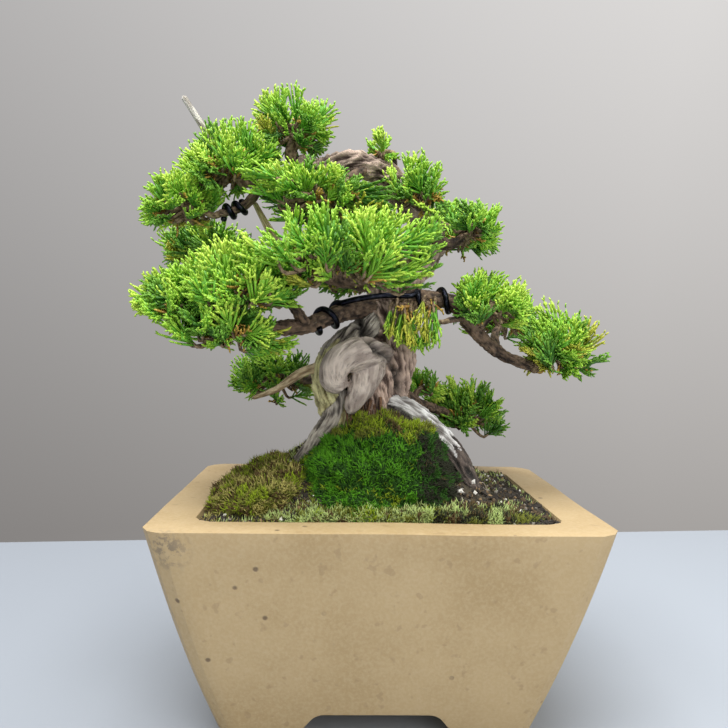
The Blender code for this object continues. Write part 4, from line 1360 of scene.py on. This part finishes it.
def makeMoss():
    rng = random.Random(4)
    pick = np.random.default_rng(9)
    sown = {kind: [] for kind in mossKinds}
    for region in tufts["count"]:
        for place, out in tuftSpots(region, rng):
            kinds = kindsAt(region, place)
            wide = 0.5 + 0.9 * noise.noise(place * tufts["patch"])
            share = tufts["ownShare"] * clump(place)[1] + (1 - tufts["ownShare"]) * wide
            which = int((share + rng.uniform(-0.08, 0.08)) * len(kinds))
            sown[kinds[min(len(kinds) - 1, max(0, which))]].append((place, out))
    for name, slot in (("moss_front", "moss"), ("moss_left", "olive_moss"), ("moss_edge", "olive_moss")):
        makeCushion(name, slot)
    for kind, spots in sown.items():
        colour, slot = mossKinds[kind]
        places = np.array([place for place, _ in spots])
        ways = np.array([out for _, out in spots])
        ways += pick.normal(scale=tufts["lean"], size=ways.shape) + np.array([0, 0, 0.35])
        ways /= np.linalg.norm(ways, axis=1)[:, None]
        long = pick.uniform(*tufts["length"], len(places))
        wide = pick.uniform(*tufts["radius"], len(places))
        bends = pick.normal(scale=0.3, size=ways.shape)
        shape = rods(places - ways * 0.6, ways, bends, long, (wide, wide * 0.8, 0), (0, 0.5, 1))
        keep(meshPiece(f"tufts_{kind}", *shape, bareLook(f"{kind} moss", colour)), slot)


makeMoss()
print("moss done")


def makeFilaments():
    # Dry pale threads that lie curved over the moss.
    rng = random.Random(6)
    arcs = []
    for x, y in ((-14, -37), (28, -33), (-41, -31), (40, -21), (4, -40)):
        turn = rng.uniform(0, math.tau)
        reach = Vector((math.cos(turn), 0.5 * math.sin(turn), 0)) * rng.uniform(4, 8)
        places = [Vector((x, y, 0)) + reach * share for share in (0, 0.35, 0.7, 1)]
        heights = (0.5, rng.uniform(2.5, 3.5), rng.uniform(2, 3), rng.uniform(1, 2.5))
        for place, above in zip(places, heights):
            place.z = roughGround(place.x, place.y) + above
            place.y += rng.uniform(-1, 1)
        arcs.append(Limb(places, (0.11, 0.07), 0.5))
    shape = joined([tubeArrays(arc, 5, tipLength=0.2) for arc in arcs])
    keep(meshPiece("filaments", *shape, bareLook("dry thread", (0.5, 0.45, 0.34))), "olive_moss")


makeFilaments()

# The colour, number and sizes of each kind of grit.
grits = {
    "dark": ((0.03, 0.024, 0.018), 2600, (0.5, 1.6)),
    "brown": ((0.11, 0.075, 0.04), 1500, (0.4, 1.2)),
    "grey": ((0.24, 0.22, 0.18), 700, (0.4, 1.1)),
    "tan": ((0.3, 0.2, 0.1), 260, (0.5, 1.4)),
    "white": ((0.7, 0.68, 0.62), 110, (0.4, 1.3)),
}


def makeGrit():
    # Crumbs of soil and small stones over the ground, each a squashed and turned block of eight
    # faces.
    rng = random.Random(8)
    wide, deep = insideWidth(soil["edge"])
    corners = np.array([(-1, 0, 0), (1, 0, 0), (0, -1, 0), (0, 1, 0), (0, 0, -1), (0, 0, 1)], float)
    upper = [(0, 2, 5), (2, 1, 5), (1, 3, 5), (3, 0, 5)]
    faces = np.array(upper + [(b, a, 4) for a, b, _ in upper])
    for kind, (colour, count, sizes) in grits.items():
        parts = []
        for _ in range(count):
            x = rng.uniform(-wide + 1, wide - 1)
            y = rng.uniform(-deep + 1, deep - 1)
            size = rng.uniform(*sizes)
            turn = Euler([rng.uniform(0, math.tau) for _ in range(3)]).to_matrix()
            stretch = np.array([size * rng.uniform(0.6, 1.1) for _ in range(3)])
            above = rng.uniform(0.2, 2.2) if kind == "white" else size * 0.2
            middle = np.array((x, y, roughGround(x, y) + above))
            jitter = 1 + np.array([[rng.uniform(-0.25, 0.25) for _ in range(3)] for _ in range(6)])
            parts.append(((corners * jitter * stretch) @ np.array(turn).T + middle, faces))
        piece = meshPiece(f"grit_{kind}", *joined(parts), bareLook(f"{kind} grit", colour))
        piece.data.shade_flat()
        keep(piece, "soil")


makeGrit()
print("grit done")


# Floor, room, lights and camera

# The floor is a table top that ends behind the plant, and is darker on the left.
floor = {
    "colour": (0.37, 0.405, 0.45), "leftShade": (0.8, 0.8, 0.81), "shadeWidth": (-0.28, 0.2),
    "behind": 208, "turn": 5.3, "halfMetres": 3,
}

# Past the floor is the room: two colours with the height of the view where each begins, and a shade
# that darkens its left side.
room = {
    "low": (0.37, 0.352, 0.338), "high": (0.81, 0.795, 0.785), "heights": (-0.25, 0.6),
    "leftShade": (0.64, 0.64, 0.645), "shadeWidth": (0.4, -0.45),
}

# Where each lamp stands in metres, how it is turned, and its power.
lamps = {
    "key": ((-0.12, -0.22, 1.1), (11, -6, 0), 17),
    "fill": ((0.5, -0.9, 0.45), (65, 25, 0), 4.5),
}
lampSize = 0.8

# The photo's camera. Its focal length and frame are in pixels of the photo.
camera = {
    "place": (-13.5, -271.5, 135.1), "yaw": -1.77, "pitch": -1.89, "roll": -1.02,
    "focal": 700, "frame": 728, "sensor": 36,
}


def makeFloor():
    look = Look("pale table top", roughness=0.85)
    where = look.place()
    share = 1 - look.part(where, 0).above(*floor["shadeWidth"])
    colour = look.blend(share, floor["colour"], floor["leftShade"], "MULTIPLY")
    turn = math.radians(floor["turn"])
    half = floor["halfMetres"]
    middle = Vector((half * math.sin(turn), floor["behind"] * mm - half * math.cos(turn), 0))
    bpy.ops.mesh.primitive_plane_add(size=2 * half, location=potMiddle + middle, rotation=(0, 0, turn))
    sheet = bpy.context.object
    sheet.name = "floor"
    settle(sheet)
    sheet.data.materials.append(look.wear(colour, None, look.noise(where, 900, 3), 0.0002, 0.2))


def makeRoom():
    world = bpy.data.worlds.new("room")
    world.use_nodes = True
    nodes = Nodes(world.node_tree)
    towards = nodes.place("Generated")
    height = nodes.part(towards, 2).above(*room["heights"], "LINEAR")
    across = nodes.part(towards, 0).above(*room["shadeWidth"], "LINEAR")
    colour = nodes.blend(height, room["low"], room["high"])
    colour = nodes.blend(across, colour, room["leftShade"], "MULTIPLY")
    nodes.tree.links.new(colour.socket, nodes.tree.nodes["Background"].inputs["Color"])
    bpy.context.scene.world = world


def makeLights():
    for name, (place, turn, power) in lamps.items():
        lamp = bpy.data.lights.new(name, "AREA")
        lamp.size = lampSize
        lamp.energy = power
        light = bpy.data.objects.new(name, lamp)
        light.location = place
        light.rotation_euler = [math.radians(t) for t in turn]
        bpy.context.scene.collection.objects.link(light)


def makeCamera():
    lens = bpy.data.cameras.new("photo camera")
    lens.sensor_width = camera["sensor"]
    lens.lens = camera["sensor"] * camera["focal"] / camera["frame"]
    lens.clip_start = 0.001
    taken = bpy.data.objects.new("photo camera", lens)
    turned = Matrix.Identity(3)
    for name, axis in (("yaw", "Z"), ("pitch", "X"), ("roll", "Y")):
        turned = turned @ Matrix.Rotation(math.radians(camera[name]), 3, axis)
    right, ahead, up = (turned.col[k] for k in range(3))
    seen = Matrix((right, up, -ahead)).transposed().to_4x4()
    seen.translation = potMiddle + Vector(camera["place"]) * mm
    taken.matrix_world = seen
    bpy.context.scene.collection.objects.link(taken)
    bpy.context.scene.camera = taken


makeFloor()
makeRoom()
makeLights()
makeCamera()
bpy.context.scene.view_settings.view_transform = "Standard"
